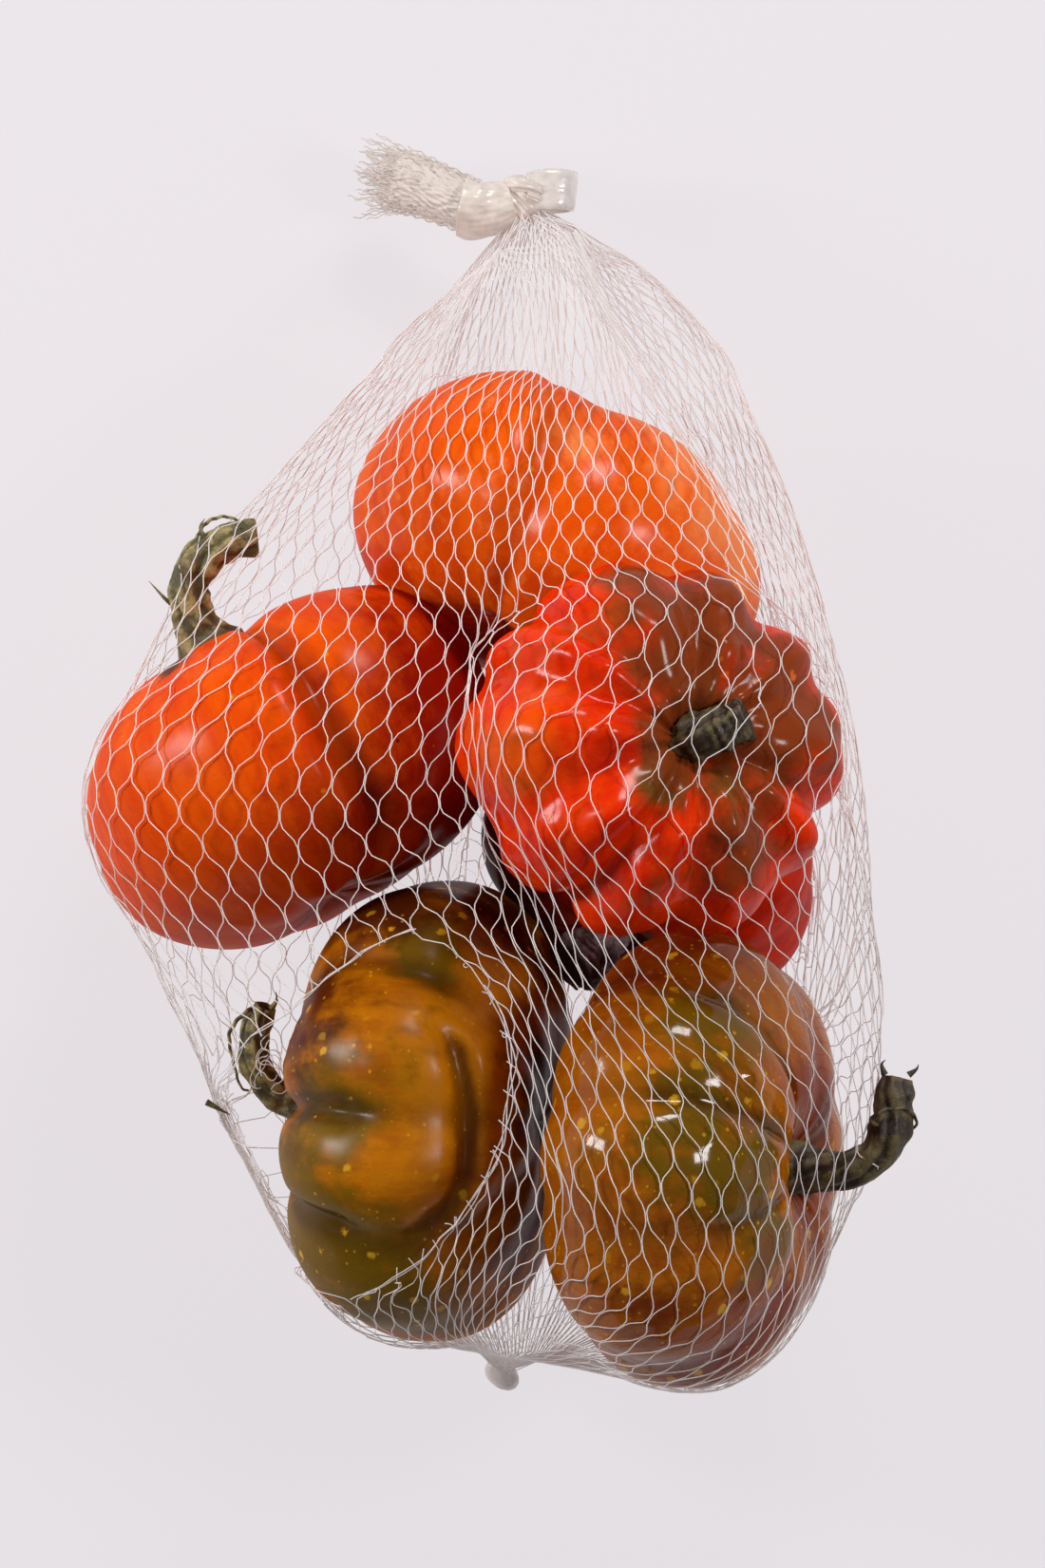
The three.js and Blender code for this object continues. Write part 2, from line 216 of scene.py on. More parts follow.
def bar(name, path, section, sides, hollow=0.0):
    """A closed bar along a path in the layout, with section(t, angle) as its radius there.

    hollow sinks the middle of its far end by that much.
    """
    rows = len(path) - 1
    first, second = sides_of(path)
    end = unit(path[-1] - path[-2])
    back, share = np.zeros(len(path)), np.ones(len(path))
    if hollow:
        back = np.concatenate([back, hollow * np.array([-0.06, 0.3, 0.9])])
        share = np.concatenate([share, [0.84, 0.6, 0.36]])
    row_path = np.minimum(np.arange(len(back)), rows)
    centres = path[row_path] - end * back[:, None]
    bm = bmesh.new()
    bmesh.ops.create_grid(bm, x_segments=sides, y_segments=len(back) - 1, size=0.5)
    row = np.array([round((vertex.co.y + 0.5) * (len(back) - 1)) for vertex in bm.verts])
    angle = np.array([vertex.co.x + 0.5 for vertex in bm.verts]) * 2 * np.pi
    t = row_path[row] / rows
    radius = section(t, angle)
    mean = section(t, angle * 0 + 0.3)
    ridge = bm.verts.layers.float.new("ridge")
    inside = share[row] < 0.7
    height = np.where(inside, 0.0, np.clip(0.5 + 2.2 * (radius / mean - 1), 0, 1))
    turned = row_path[row]
    around = (first[turned] * np.cos(angle)[:, None] + second[turned] * np.sin(angle)[:, None])
    places = place(centres[row] + around * (radius * share[row])[:, None])
    for vertex, point, value in zip(bm.verts, places, height):
        vertex.co = point
        vertex[ridge] = value
    bmesh.ops.remove_doubles(bm, verts=bm.verts, dist=1e-7)
    bmesh.ops.holes_fill(bm, edges=[edge for edge in bm.edges if edge.is_boundary], sides=0)
    bmesh.ops.poke(bm, faces=[face for face in bm.faces if len(face.verts) > 4])
    bmesh.ops.recalc_face_normals(bm, faces=bm.faces)
    return as_mesh(name, bm)


def joined(name, meshes):
    """Several meshes as one."""
    bm = bmesh.new()
    for mesh in meshes:
        bm.from_mesh(mesh)
        bpy.data.meshes.remove(mesh)
    return as_mesh(name, bm)


def strands(name, paths, width):
    """Four-sided yarns along many paths in the layout, as one mesh."""
    curve = bpy.data.curves.new(name, "CURVE")
    curve.dimensions = "3D"
    curve.bevel_depth = width / 2 * MM
    curve.bevel_resolution = 0
    curve.use_fill_caps = True
    for path in paths:
        spline = curve.splines.new("POLY")
        spline.points.add(len(path) - 1)
        points = np.column_stack([place(path), np.ones(len(path))])
        spline.points.foreach_set("co", points.astype(np.float32).ravel())
    holder = bpy.data.objects.new(name, curve)
    bpy.context.scene.collection.objects.link(holder)
    depsgraph = bpy.context.evaluated_depsgraph_get()
    mesh = bpy.data.meshes.new_from_object(holder.evaluated_get(depsgraph))
    bpy.data.objects.remove(holder)
    bpy.data.curves.remove(curve)
    mesh.name = name
    return mesh


# ---------- Material helpers ----------


def tone(red, green, blue):
    """A colour as seen on a screen, 0 to 255, in the linear values that shaders take."""
    values = np.array([red, green, blue]) / 255
    linear = np.where(values <= 0.04045, values / 12.92, ((values + 0.055) / 1.055) ** 2.4)
    return (*linear, 1)


def fill(socket, value):
    if isinstance(value, bpy.types.NodeSocket):
        socket.id_data.links.new(value, socket)
    else:
        socket.default_value = value


class Paint:
    """A material under construction: its nodes are added in the order they work."""

    def __init__(self, name):
        self.material = bpy.data.materials.new(name)
        self.material.use_nodes = True
        self.nodes = self.material.node_tree.nodes
        self.shader = self.nodes["Principled BSDF"]

    def add(self, kind, inputs=(), **settings):
        node = self.nodes.new(kind)
        for key, value in settings.items():
            setattr(node, key, value)
        for key, value in dict(inputs).items():
            fill(node.inputs[key], value)
        return node

    def place(self):
        return self.add("ShaderNodeTexCoord").outputs["Object"]

    def attribute(self, name, output="Fac"):
        return self.add("ShaderNodeAttribute", attribute_name=name).outputs[output]

    def noise(self, scale, detail=3, roughness=0.55, vector=None):
        inputs = {"Vector": vector or self.place(), "Scale": scale, "Detail": detail,
                  "Roughness": roughness}
        return self.add("ShaderNodeTexNoise", inputs).outputs["Fac"]

    def ramp(self, value, low, high, to_low=0.0, to_high=1.0):
        inputs = {"Value": value, "From Min": low, "From Max": high, "To Min": to_low,
                  "To Max": to_high}
        return self.add("ShaderNodeMapRange", inputs, interpolation_type="SMOOTHSTEP").outputs[0]

    def sum(self, operation, a, b):
        return self.add("ShaderNodeMath", {0: a, 1: b}, operation=operation).outputs[0]

    def mix(self, factor, a, b):
        node = self.add("ShaderNodeMix", data_type="RGBA")
        fill(node.inputs[0], factor)
        fill(node.inputs[6], a)
        fill(node.inputs[7], b)
        return node.outputs[2]

    def weighted(self, *terms):
        """The sum of (value, weight) terms."""
        total = self.sum("MULTIPLY", *terms[0])
        for value, weight in terms[1:]:
            total = self.sum("ADD", total, self.sum("MULTIPLY", value, weight))
        return total

    def specks(self, scale, low, high, most, ragged=None):
        """How far inside random round specks, and a random number for each of them.

        The share from low to high of the cells holds one, up to `most` wide. ragged frays its rim.
        """
        cells = self.add("ShaderNodeTexVoronoi",
                         {"Vector": self.place(), "Scale": scale, "Randomness": 1})
        apart = self.add("ShaderNodeSeparateColor", {"Color": cells.outputs["Color"]})
        size = self.ramp(apart.outputs[0], low, high, 0.0, most)
        distance = cells.outputs["Distance"]
        if ragged:
            distance = self.sum("ADD", distance, ragged)
        return self.sum("SUBTRACT", size, distance), apart.outputs[1]

    def bump(self, height, distance):
        inputs = {"Height": height, "Distance": distance * MM, "Strength": 1.0}
        return self.add("ShaderNodeBump", inputs).outputs[0]

    def finish(self, **inputs):
        for key, value in inputs.items():
            fill(self.shader.inputs[key.replace("_", " ")], value)
        return self.material


# ---------- Pumpkin shape ----------


def axes_of(pumpkin):
    axis = unit(pumpkin["axis"])
    front = np.array(pumpkin["front"], float)
    front = unit(front - axis * np.dot(front, axis))
    return axis, front, np.cross(axis, front)


def plain_radius(pumpkin, polar, dimpled=True):
    """Radius without creases: a flattened round, dimpled at stem and base."""
    across = np.abs(np.sin(polar) / pumpkin["equator"]) ** SQUARENESS
    along = np.abs(np.cos(polar) / pumpkin["pole"]) ** SQUARENESS
    stem, base = pumpkin["dimples"] if dimpled else (0, 0)
    dent = stem * bump(polar, 0.42) + base * bump(np.pi - polar, 0.4)
    return (across + along) ** (-1 / SQUARENESS) * (1 - dent)


def creases(pumpkin, polar, azimuth, narrow=1.0):
    """How deep the creases between lobes are, as a share of the radius."""
    reach = np.clip(np.sin(polar), 0, 1) ** 0.7
    return reach * sum(depth * bump(angle_between(azimuth, math.radians(angle)),
                                    math.radians(width) * narrow)
                       for angle, depth, width in pumpkin["valleys"])


def fruit_radius(pumpkin, polar, azimuth):
    return plain_radius(pumpkin, polar) * (1 - creases(pumpkin, polar, azimuth))


def fruit_points(pumpkin, directions):
    """Surface points round the fruit's own middle, for unit directions in its own axes."""
    polar = np.arccos(np.clip(directions[:, 2], -1, 1))
    azimuth = np.arctan2(directions[:, 1], directions[:, 0])
    axis, front, side = axes_of(pumpkin)
    turned = directions @ np.stack([front, side, axis])
    return turned * fruit_radius(pumpkin, polar, azimuth)[:, None], polar, azimuth


def ball(name, segments, rings):
    """A ball as a mesh, and the direction of each of its vertices."""
    bm = bmesh.new()
    bmesh.ops.create_uvsphere(bm, u_segments=segments, v_segments=rings, radius=1)
    directions = unit([vertex.co[:] for vertex in bm.verts])
    return as_mesh(name, bm), directions


def middle_of(name):
    """The fruit's middle in the layout, from the box of its CAD node."""
    mesh, directions = ball("measure", 60, 40)
    bpy.data.meshes.remove(mesh)
    points, _, _ = fruit_points(PUMPKINS[name], directions)
    low, high = (unplace(corner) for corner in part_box(f"pumpkin_{name}"))
    middle = (low + high) / 2 - (points.min(0) + points.max(0)) / 2
    middle[2] = high[2] - points[:, 2].max()
    return middle


MIDDLES = {name: middle_of(name) for name in PUMPKINS}


# Rings of knobs round the ribbed pumpkin's stem: degrees from it, height in mm, half width.
KNOB_RINGS = ((25, 2.2, 6.5), (40, 2.8, 8), (58, 2, 9))


def ripples(directions, seed, bands):
    """Gentle unevenness over a ball: (frequency, height) bands of random waves."""
    random = np.random.default_rng(seed)
    total = np.zeros(len(directions))
    for frequency, height in bands:
        waves = unit(random.normal(size=(7, 3))) * frequency * random.uniform(0.7, 1.3, (7, 1))
        phases = random.uniform(0, 2 * np.pi, 7)
        total += height * np.sin(directions @ waves.T + phases).sum(1) / 2.6
    return total


def knob(polar, azimuth, at, middle, width):
    """1 at one place on a fruit, given in radians, fading over a half width in degrees."""
    away = np.hypot(polar - at, angle_between(azimuth, middle) * np.sin(at))
    return bump(away, math.radians(width))


def knobs(pumpkin, polar, azimuth):
    """Blister-like knobs along the lobes, round the stem of the ribbed one."""
    random = np.random.default_rng(SEED)
    total = np.zeros(len(polar))
    angles = sorted(angle for angle, _, _ in pumpkin["valleys"])
    for left, right in zip(angles, angles[1:] + [angles[0] + 360]):
        for ring, height, width in KNOB_RINGS:
            middle = math.radians((left + right) / 2 + random.uniform(-5, 5))
            at = math.radians(ring + random.uniform(-4, 4))
            strength = random.uniform(0.5, 1.1)
            total += height * strength * knob(polar, azimuth, at, middle, width)
    return total


# Sharp creases: (angle from the stem, azimuth) along each, depth in mm, half width in degrees.
LINES = {
    "top": ((((133, 50), (112, 33), (95, 21.4), (75, 13.4), (52, 10.4), (25, 3)), 1.3, 4.2),),
    "left": ((((30, 20), (65, 22), (97, 21), (126, 27.5), (150, 34)), 2.5, 5),),
    "ribbed": (),
    "lower_left": (
        (((100, 30), (109, 27), (113, 22), (116.6, 12), (118.4, 2), (118.3, -9), (116, -18.5),
          (111, -25), (104, -28), (94, -30.4)), 3.0, 3.2),
        (((22, 5), (45, 4), (70, 4), (85, 3), (97, 2)), 2.9, 3.6),
        (((50, 55), (70, 50), (88, 46), (98, 43.6), (108, 42), (119, 38.6)), 1.2, 3.4),
        (((30, -46), (52, -35), (71.6, -28), (88, -28.6), (94, -30.4)), 2.9, 3.6),
    ),
    "lower_right": (
        (((25, -20), (50, -21), (75, -20), (96, -17)), 1.2, 2.6),
        (((25, 20), (50, 19), (78, 17)), 1.0, 2.6),
        (((25, -60), (55, -58), (90, -52)), 1.2, 2.6),
    ),
    "behind": (),
}


def from_line(line, polar, azimuth, down=0.0, turn_by=0.0):
    """Distance in degrees from a line drawn on a fruit, fading towards the line's ends."""
    path = spread([(a + down, b + turn_by, 0) for a, b in line], 40)
    flat = np.stack([np.degrees(polar), np.degrees(angle_between(azimuth, 0))], axis=1)
    best = np.full(len(polar), 1e9)
    for k, (at, turn, _) in enumerate(path):
        fade = 6 * max(0, 1 - k / 7) + 6 * max(0, (k - 32) / 7)
        away = np.hypot(flat[:, 0] - at, (flat[:, 1] - turn) * math.sin(math.radians(at)))
        best = np.minimum(best, away + fade)
    return best


def drawn_creases(name, polar, azimuth):
    """How deep the sharp creases are, as a share of the deepest."""
    total = np.zeros(len(polar))
    for line, depth, width in LINES[name]:
        total = np.maximum(total, depth / 2.3 * bump(from_line(line, polar, azimuth), width))
    return total


def warts(polar, azimuth, seed, count, rings, turns, height):
    """Small warts strewn over a part of a fruit, given by two ranges in degrees."""
    random = np.random.default_rng(seed)
    total = np.zeros(len(polar))
    for _ in range(count):
        at = math.radians(random.uniform(*rings))
        middle = math.radians(random.uniform(*turns))
        strength = random.uniform(0.4, 1)
        total += height * strength * knob(polar, azimuth, at, middle, random.uniform(1.2, 3))
    return total


# bands: (frequency, height) of slight waves. bulges: (direction in the layout, half width in
# degrees, height in mm). patches: (mask, direction, half width, strength) of coloured spots;
# pale spots are painted light on lit sides and painted highlights, deep spots are the skin's
# darker tone and, on shaded sides and undersides, painted shade.
# ridge: height, half width, and shifts in degrees from the first drawn crease, beside which it
# runs. warts: see warts().
SKINS = {
    "top": dict(
        bands=((3, 0.45), (8, 0.16)), ridge=(1.0, 6, 0, 9),
        bulges=(((0.26, 0.97, 0), 48, -8.4), ((0.95, 0.3, 0), 20, -3.6), ((-1, 0, 0), 24, 1.6),
                ((-0.85, -0.5, 0), 26, 4)),
        patches=(("deep", (-0.2, -0.9, 0.1), 40, 0.8), ("deep", (-0.9, -0.1, 0.1), 34, 0.45),
                 ("deep", (0.1, -0.2, -1), 50, 0.8), ("pale", (0.75, 0.35, 0.4), 30, 1.0),
                 ("pale", (0.35, -0.35, 0.8), 20, 0.4), ("pale", (0.12, 0.45, 0.88), 12, 0.6),
                 ("pale", (0.92, 0.05, 0.4), 26, 1.2)),
    ),
    "left": dict(
        bands=((3, 0.4), (9, 0.14)), ridge=(1.5, 5, 0, -9),
        bulges=(((0.58, 0.8, 0.15), 30, 6), ((0.1, -1, 0), 40, 1.6), ((-1, -0.1, 0), 40, -3.4),
                ((0.95, 0.1, 0.2), 30, 2.6)),
        patches=(("deep", (0.85, 0.1, 0.3), 42, 1.0), ("deep", (0.3, -0.9, -0.1), 30, 0.25),
                 ("deep", (0, 0, -1), 55, 0.8), ("deep", (0.55, 0.65, 0.3), 30, 0.5),
                 ("olive", (-0.42, 0.5, 0.42), 9, 0.9), ("pale", (-0.6, 0.2, 0.6), 22, 0.35)),
    ),
    "ribbed": dict(
        bands=((4, 0.35), (11, 0.2)),
        bulges=(((-1, 0.15, -0.1), 32, 2.2), ((-0.9, 0.45, -0.1), 18, 2.4)),
        patches=(("deep", (0.75, 0.2, 0.5), 38, 1.0), ("deep", (0.2, 0.8, 0.5), 34, 1.0),
                 ("deep", (0.3, 0.1, 0.95), 26, 1.0), ("deep", (0.5, -0.5, 0.6), 24, 0.75),
                 ("olive", (0.02, -0.2, 0.95), 13, 0.9), ("olive", (0.5, -0.25, 0.8), 12, 0.8),
                 ("olive", (0.35, 0.45, 0.8), 11, 0.6), ("pale", (-0.5, 0.5, 0.5), 18, 0.25),
                 ("pale", (-0.75, 0.1, 0.6), 28, 0.6), ("pale", (-0.3, 0.8, 0.45), 22, 0.5)),
    ),
    "lower_left": dict(
        bands=((3, 0.5), (8, 0.15)), ridge=(1.6, 5, 8, 0),
        warts=(3, 12, (30, 100), (-50, 60), 0.4), bulges=(((0.1, 1, 0.1), 34, 3.2),),
        patches=(("deep", (0.88, 0.1, 0.3), 29, 1.0), ("deep", (-0.2, 0.9, 0.25), 22, 1.0),
                 ("deep", (0.2, 0.95, 0.1), 26, 0.9), ("deep", (-0.62, 0.5, 0.6), 28, 0.62),
                 ("olive", (-0.55, -0.5, 0.6), 27, 1.0), ("olive", (-0.15, -0.78, 0.55), 24, 0.9),
                 ("olive", (-0.45, 0.08, 0.9), 19, 0.85), ("olive", (0, 0.74, 0.62), 12, 0.95),
                 ("deep", (0.5, -0.7, 0.4), 24, 0.75), ("pale", (0.12, 0.1, 1), 19, 0.9),
                 ("pale", (0.1, 0.45, 0.85), 14, 0.7), ("pale", (0.36, 0.02, 0.92), 9, 0.9),
                 ("pale", (0.32, 0.36, 0.88), 9, 0.9), ("deep", (0.82, 0.1, 0.56), 24, 0.8),
                 ("deep", (0, 0, -1), 50, 0.7)),
    ),
    "lower_right": dict(
        bands=((3, 0.45), (8, 0.18)), warts=(4, 40, (25, 95), (-45, 50), 0.8),
        patches=(("olive", (0.1, 0.1, 1), 32, 0.75), ("olive", (0.1, 0.6, 0.75), 22, 0.75),
                 ("olive", (0.45, -0.4, 0.75), 22, 0.7), ("deep", (0.3, -0.85, 0.4), 26, 0.9),
                 ("deep", (-0.2, 0.95, 0.2), 24, 0.9), ("deep", (0.85, 0.4, 0.2), 30, 0.8),
                 ("deep", (0.85, -0.45, 0.1), 28, 0.7), ("deep", (-0.1, -0.6, 0.75), 16, 0.45),
                 ("pale", (-0.6, 0.1, 0.75), 26, 0.4), ("deep", (0, 0, -1), 50, 0.7)),
    ),
    "behind": dict(
        bands=((3, 0.35), (8, 0.15)),
        patches=(("deep", (-0.9, 0.1, 0.2), 46, 1.0), ("deep", (-0.2, -0.8, 0.4), 34, 0.9),
                 ("pale", (0.9, 0.1, 0.2), 24, 0.3)),
    ),
}

# Skin colours: main, its warmer streaks, and of the patches (pale also for painted light and
# highlights, deep also for painted shade); then how many cells hold flecks and dark pits, how
# dark the painted shade in the creases is, and how blurred and strong the wax shines.
RINDS = {
    "top": dict(main=(232, 92, 5), streak=(222, 76, 3), deep=(196, 50, 1), olive=(120, 84, 20),
                pale=(246, 148, 84), fleck=(240, 146, 30), specks=0.3, dark_specks=0.14,
                crease=0.25, blur=0.22, wax=1.3),
    "left": dict(main=(226, 82, 2), streak=(214, 62, 2), deep=(160, 22, 2), olive=(40, 36, 12),
                 pale=(236, 92, 20), fleck=(240, 136, 24), specks=0.35, dark_specks=0.3,
                 crease=0.35, blur=0.27, wax=1.2),
    "ribbed": dict(main=(224, 50, 2), streak=(206, 32, 2), deep=(122, 54, 20), olive=(96, 72, 24),
                   pale=(236, 92, 10), fleck=(236, 104, 22), specks=0.35, dark_specks=0.4,
                   crease=0.4, blur=0.18, wax=1.5),
    "lower_left": dict(main=(182, 106, 3), streak=(152, 80, 4), deep=(74, 24, 6),
                       olive=(108, 82, 3), pale=(212, 134, 8), fleck=(222, 168, 32), specks=0.8,
                       dark_specks=0.4, crease=0.55, blur=0.3, wax=1.8),
    "lower_right": dict(main=(166, 92, 5), streak=(148, 70, 4), deep=(122, 40, 6),
                        olive=(96, 74, 6), pale=(186, 112, 16), fleck=(214, 158, 30), specks=0.9,
                        dark_specks=0.6, crease=0.55, blur=0.1, wax=2.4),
    "behind": dict(main=(206, 40, 4), streak=(176, 28, 5), deep=(98, 48, 40), olive=(90, 60, 20),
                   pale=(220, 62, 14), fleck=(230, 90, 30), specks=0.3, dark_specks=0.3,
                   crease=0.5, blur=0.2, wax=1),
}


def bulged(name, outward):
    """How far one pumpkin swells past its plain shape, in mm, by direction in the layout."""
    total = np.zeros(len(outward))
    for direction, width, height in SKINS[name].get("bulges", ()):
        total += height * spot_on(outward, direction, width)
    return total


def relief(name, directions, polar, azimuth):
    """Fine form of one pumpkin's skin, in millimetres outwards."""
    pumpkin, skin = PUMPKINS[name], SKINS[name]
    extra = ripples(directions, len(name), skin["bands"])
    extra += 0.35 * bump(polar, 0.5) * np.sin(azimuth * 17 + 2 * np.sin(azimuth * 3))
    extra -= 2.3 * drawn_creases(name, polar, azimuth)
    axis, front, side = axes_of(pumpkin)
    extra += bulged(name, directions @ np.stack([front, side, axis]))
    if name == "ribbed":
        extra += knobs(pumpkin, polar, azimuth) + 0.5 * ripples(directions, 5, ((26, 0.4),))
    if "ridge" in skin:
        height, width, *beside = skin["ridge"]
        extra += height * bump(from_line(LINES[name][0][0], polar, azimuth, *beside), width)
    if "warts" in skin:
        extra += warts(polar, azimuth, *skin["warts"])
    return extra


def rind(name, colours, gloss, relief_height):
    """Waxy skin: streaks from stem to base, blotches, yellow flecks and small dark pits."""
    p = Paint(name)
    along = p.attribute("along", "Vector")
    streaks = p.noise(1.0, 5, 0.6, vector=along)
    clouds = p.noise(70, 4, 0.6)
    fine = p.noise(420, 3, 0.6)
    colour = p.mix(p.ramp(streaks, 0.36, 0.66), tone(*colours["main"]), tone(*colours["streak"]))
    mottle = p.noise(230, 4, 0.7)
    colour = p.mix(p.ramp(mottle, 0.5, 0.74, 0, 0.3), colour, tone(*colours["pale"]))
    colour = p.mix(p.ramp(mottle, 0.48, 0.26, 0, 0.35), colour, tone(*colours["streak"]))
    jitter = p.sum("ADD", p.ramp(clouds, 0.25, 0.75, -0.32, 0.32),
                   p.ramp(streaks, 0.3, 0.7, -0.07, 0.07))
    # Pale patches are painted light and highlights; deep ones are partly painted shade.
    for mask, low, high, most in (("pale", 0.15, 0.85, 0.7), ("olive", 0.16, 0.72, 0.92),
                                  ("deep", 0.12, 0.8, 0.95)):
        amount = p.ramp(p.sum("ADD", p.attribute(mask), jitter), low, high, 0, most)
        colour = p.mix(amount, colour, tone(*colours[mask]))
    # Painted shade in the creases and in the dimples at stem and base.
    shade = p.ramp(p.attribute("crease"), 0.15, 1.0, 0, colours["crease"])
    colour = p.mix(shade, colour, tone(*(0.45 * np.array(colours["deep"]))))
    inside, chance = p.specks(210, 1 - colours["specks"], 1.3, 0.4,
                              p.ramp(fine, 0.3, 0.7, -0.1, 0.1))
    fleck = p.sum("MULTIPLY", p.ramp(inside, 0.0, 0.16), p.ramp(chance, 0, 1, 0.2, 0.85))
    colour = p.mix(fleck, colour, tone(*colours["fleck"]))
    inside, _ = p.specks(620, 1 - 0.6 * colours["specks"], 1.2, 0.4)
    colour = p.mix(p.ramp(inside, 0.0, 0.12, 0, 0.5), colour, tone(*colours["fleck"]))
    inside, _ = p.specks(110, 1 - colours["dark_specks"], 1.5, 0.13,
                         p.ramp(fine, 0.3, 0.7, -0.04, 0.04))
    pit = p.ramp(inside, 0.0, 0.03)
    colour = p.mix(p.sum("MULTIPLY", pit, 0.8), colour, tone(52, 28, 10))
    height = p.weighted((clouds, 0.5), (fine, 0.24), (streaks, 0.35), (mottle, 0.3),
                        (p.noise(1400, 2, 0.5), 0.12), (fleck, 0.12), (pit, -0.4))
    rough = p.ramp(p.noise(160, 4, 0.65), 0.3, 0.75, 0.3, 0.46)
    return p.finish(Base_Color=colour, Roughness=rough, Coat_Weight=gloss * colours["wax"],
                    Coat_Roughness=colours["blur"], Specular_IOR_Level=0.0, Subsurface_Weight=0.0,
                    Subsurface_Radius=(0.01, 0.004, 0.002), Subsurface_Scale=0.25,
                    Normal=p.bump(height, relief_height / MM))


def fruit(name, detail):
    """One pumpkin as a mesh: a ball reshaped into a dimpled, creased, uneven fruit."""
    pumpkin, skin = PUMPKINS[name], SKINS[name]
    mesh, directions = ball(f"pumpkin_{name}", 2 * detail, detail)
    points, polar, azimuth = fruit_points(pumpkin, directions)
    outward = unit(points)
    extra = relief(name, directions, polar, azimuth)
    points = points + outward * extra[:, None]
    solid = points + MIDDLES[name]
    low = FLAT - FLAT * np.tanh((FLAT - solid[:, 2]) / FLAT)
    solid[:, 2] = np.where(solid[:, 2] < FLAT, low, solid[:, 2])
    move_vertices(mesh, place(solid))
    # Patch masks: pale ones paint light and highlights, deep ones partly paint shade.
    for mask in ("pale", "olive", "deep"):
        value = np.zeros(len(points))
        for kind, direction, width, strength in skin["patches"]:
            if kind == mask:
                value = np.maximum(value, strength * spot_on(outward, direction, width))
        paint(mesh, mask, value)
    # Painted shade: strongest along the creases and in the dimples at stem and base.
    depth = creases(pumpkin, polar, azimuth, 0.55)
    ends = 0.9 * bump(polar, 0.26), 0.7 * bump(np.pi - polar, 0.2)
    crease = depth / max(depth.max(), 1e-6) + ends[0] + ends[1]
    crease = crease * 0.6 + drawn_creases(name, polar, azimuth)
    paint(mesh, "crease", np.clip(crease, 0, 1))
    around = np.stack([np.cos(azimuth) * 7, np.sin(azimuth) * 7, polar * 1.6], axis=1)
    paint_vectors(mesh, "along", around * (0.6 + 0.4 * np.sin(polar)[:, None]))
    return mesh


# ---------- Stem shape ----------

# Middle line from the first free point, radii from root to tip, turn of the ridges, and look.
STEMS = {
    "left": dict(
        path=((-62.4, 27, 43.5), (-64.6, 33.5, 45), (-64.4, 39, 47), (-61, 44, 49),
              (-56, 46.9, 50), (-50.6, 47.6, 50)),
        radii=(9.6, 8.4, 4.8, 3.8, 3.8, 3.4, 3.4), twist=1.1, slot="stem_green",
        knuckles=((0.52, 0.10), (0.7, 0.16), (0.86, 0.1), (0.98, 0.18)), hollow=3.5,
        thorns=(((-65.4, 32, 46), (-69, 34, 46.6), (-73.4, 38.6, 46.6)),
                ((-60.6, 46.4, 50), (-62.4, 49.6, 50.6), (-61.4, 51.6, 51))),
        tendril=((-63.6, 46.2, 47.8), (-61.6, 50.4, 49.2), (-57.8, 52, 50.4),
                 (-54.6, 51.2, 50.8), (-52.4, 49.4, 50.6)),
    ),
    "ribbed": dict(
        path=((40.4, 5.4, 118.6), (45, 6.8, 120), (50.2, 9, 121)),
        radii=(5.4, 4.6, 4.2, 4), twist=0.3, slot="stem_dark",
        knuckles=((0.7, 0.12), (0.95, 0.1)), hollow=0.8, thorns=(), tendril=(),
    ),
    "lower_left": dict(
        path=((-43.4, -71.4, 37), (-48.4, -68.4, 37.6), (-51.4, -62.6, 39), (-51, -56, 41),
              (-49, -51, 42.6)),
        radii=(5.6, 4.4, 3.2, 3, 2.9, 2.2), twist=0.8, slot="stem_green",
        knuckles=((0.45, 0.1), (0.7, 0.12), (0.9, 0.22)), hollow=0.8,
        thorns=(((-47.8, -51.6, 43), (-46.6, -49.6, 43.6), (-46.8, -47.8, 44)),
                ((-61.6, -71.4, 38), (-58.6, -73, 38.6), (-56.2, -74.2, 39))),
        tendril=((-51.6, -51.4, 43.4), (-54, -53, 44), (-56.6, -57, 43), (-55.6, -63.6, 41.4),
                 (-54.2, -68.2, 40.4), (-52.6, -68.8, 40)),
    ),
    "lower_right": dict(
        path=((67.6, -83.6, 82.5), (73.4, -82.8, 84.5), (78.4, -79.6, 85.6), (80.8, -74, 86),
              (81.4, -68.4, 85.6), (82.2, -64.6, 85)),
        radii=(7.6, 5.2, 3.9, 3.4, 3.6, 3.7, 3), twist=0.9, slot="stem_dark",
        knuckles=((0.5, 0.12), (0.74, 0.14), (0.93, 0.2)), hollow=1.2,
        thorns=(((84.4, -63.8, 85), (86, -62.6, 85.2), (86.4, -61.6, 85.2)),
                ((79.4, -63.6, 86), (78.8, -61.6, 86.4), (79.6, -60.6, 86.6))),
        tendril=((78.4, -74.6, 89), (76.6, -72.6, 90.8), (79.6, -70.6, 91.2), (84, -70.8, 89.2),
                 (86, -73.6, 86.2), (83.6, -76.4, 84), (81.6, -76.6, 83.6)),
    ),
    "behind": dict(
        path=((21.6, -37.6, 45.4), (18.6, -40, 47.4), (15.6, -42.2, 49.6)),
        radii=(4.8, 4.2, 4.8, 6), twist=0.2, slot="stem_grey",
        knuckles=((0.9, 0.12),), hollow=0.6, thorns=(), tendril=(),
    ),
}
ROOT_DEPTH = 4

# Dark and light ridges, brown spots, and how rough the smoothest parts are.
STEM_SKINS = {
    "stem_green": ((80, 73, 40), (168, 152, 98), (116, 78, 42), 0.5),
    "stem_dark": ((40, 27, 14), (98, 84, 50), (60, 44, 28), 0.35),
    "stem_grey": ((70, 48, 46), (128, 106, 108), (96, 70, 66), 0.5),
}


def stem_path(name, count=60):
    pumpkin = PUMPKINS[name]
    root = MIDDLES[name] + unit(pumpkin["axis"]) * (plain_radius(pumpkin, 0.0) - ROOT_DEPTH)
    return spread(np.vstack([root, STEMS[name]["path"]]), count)


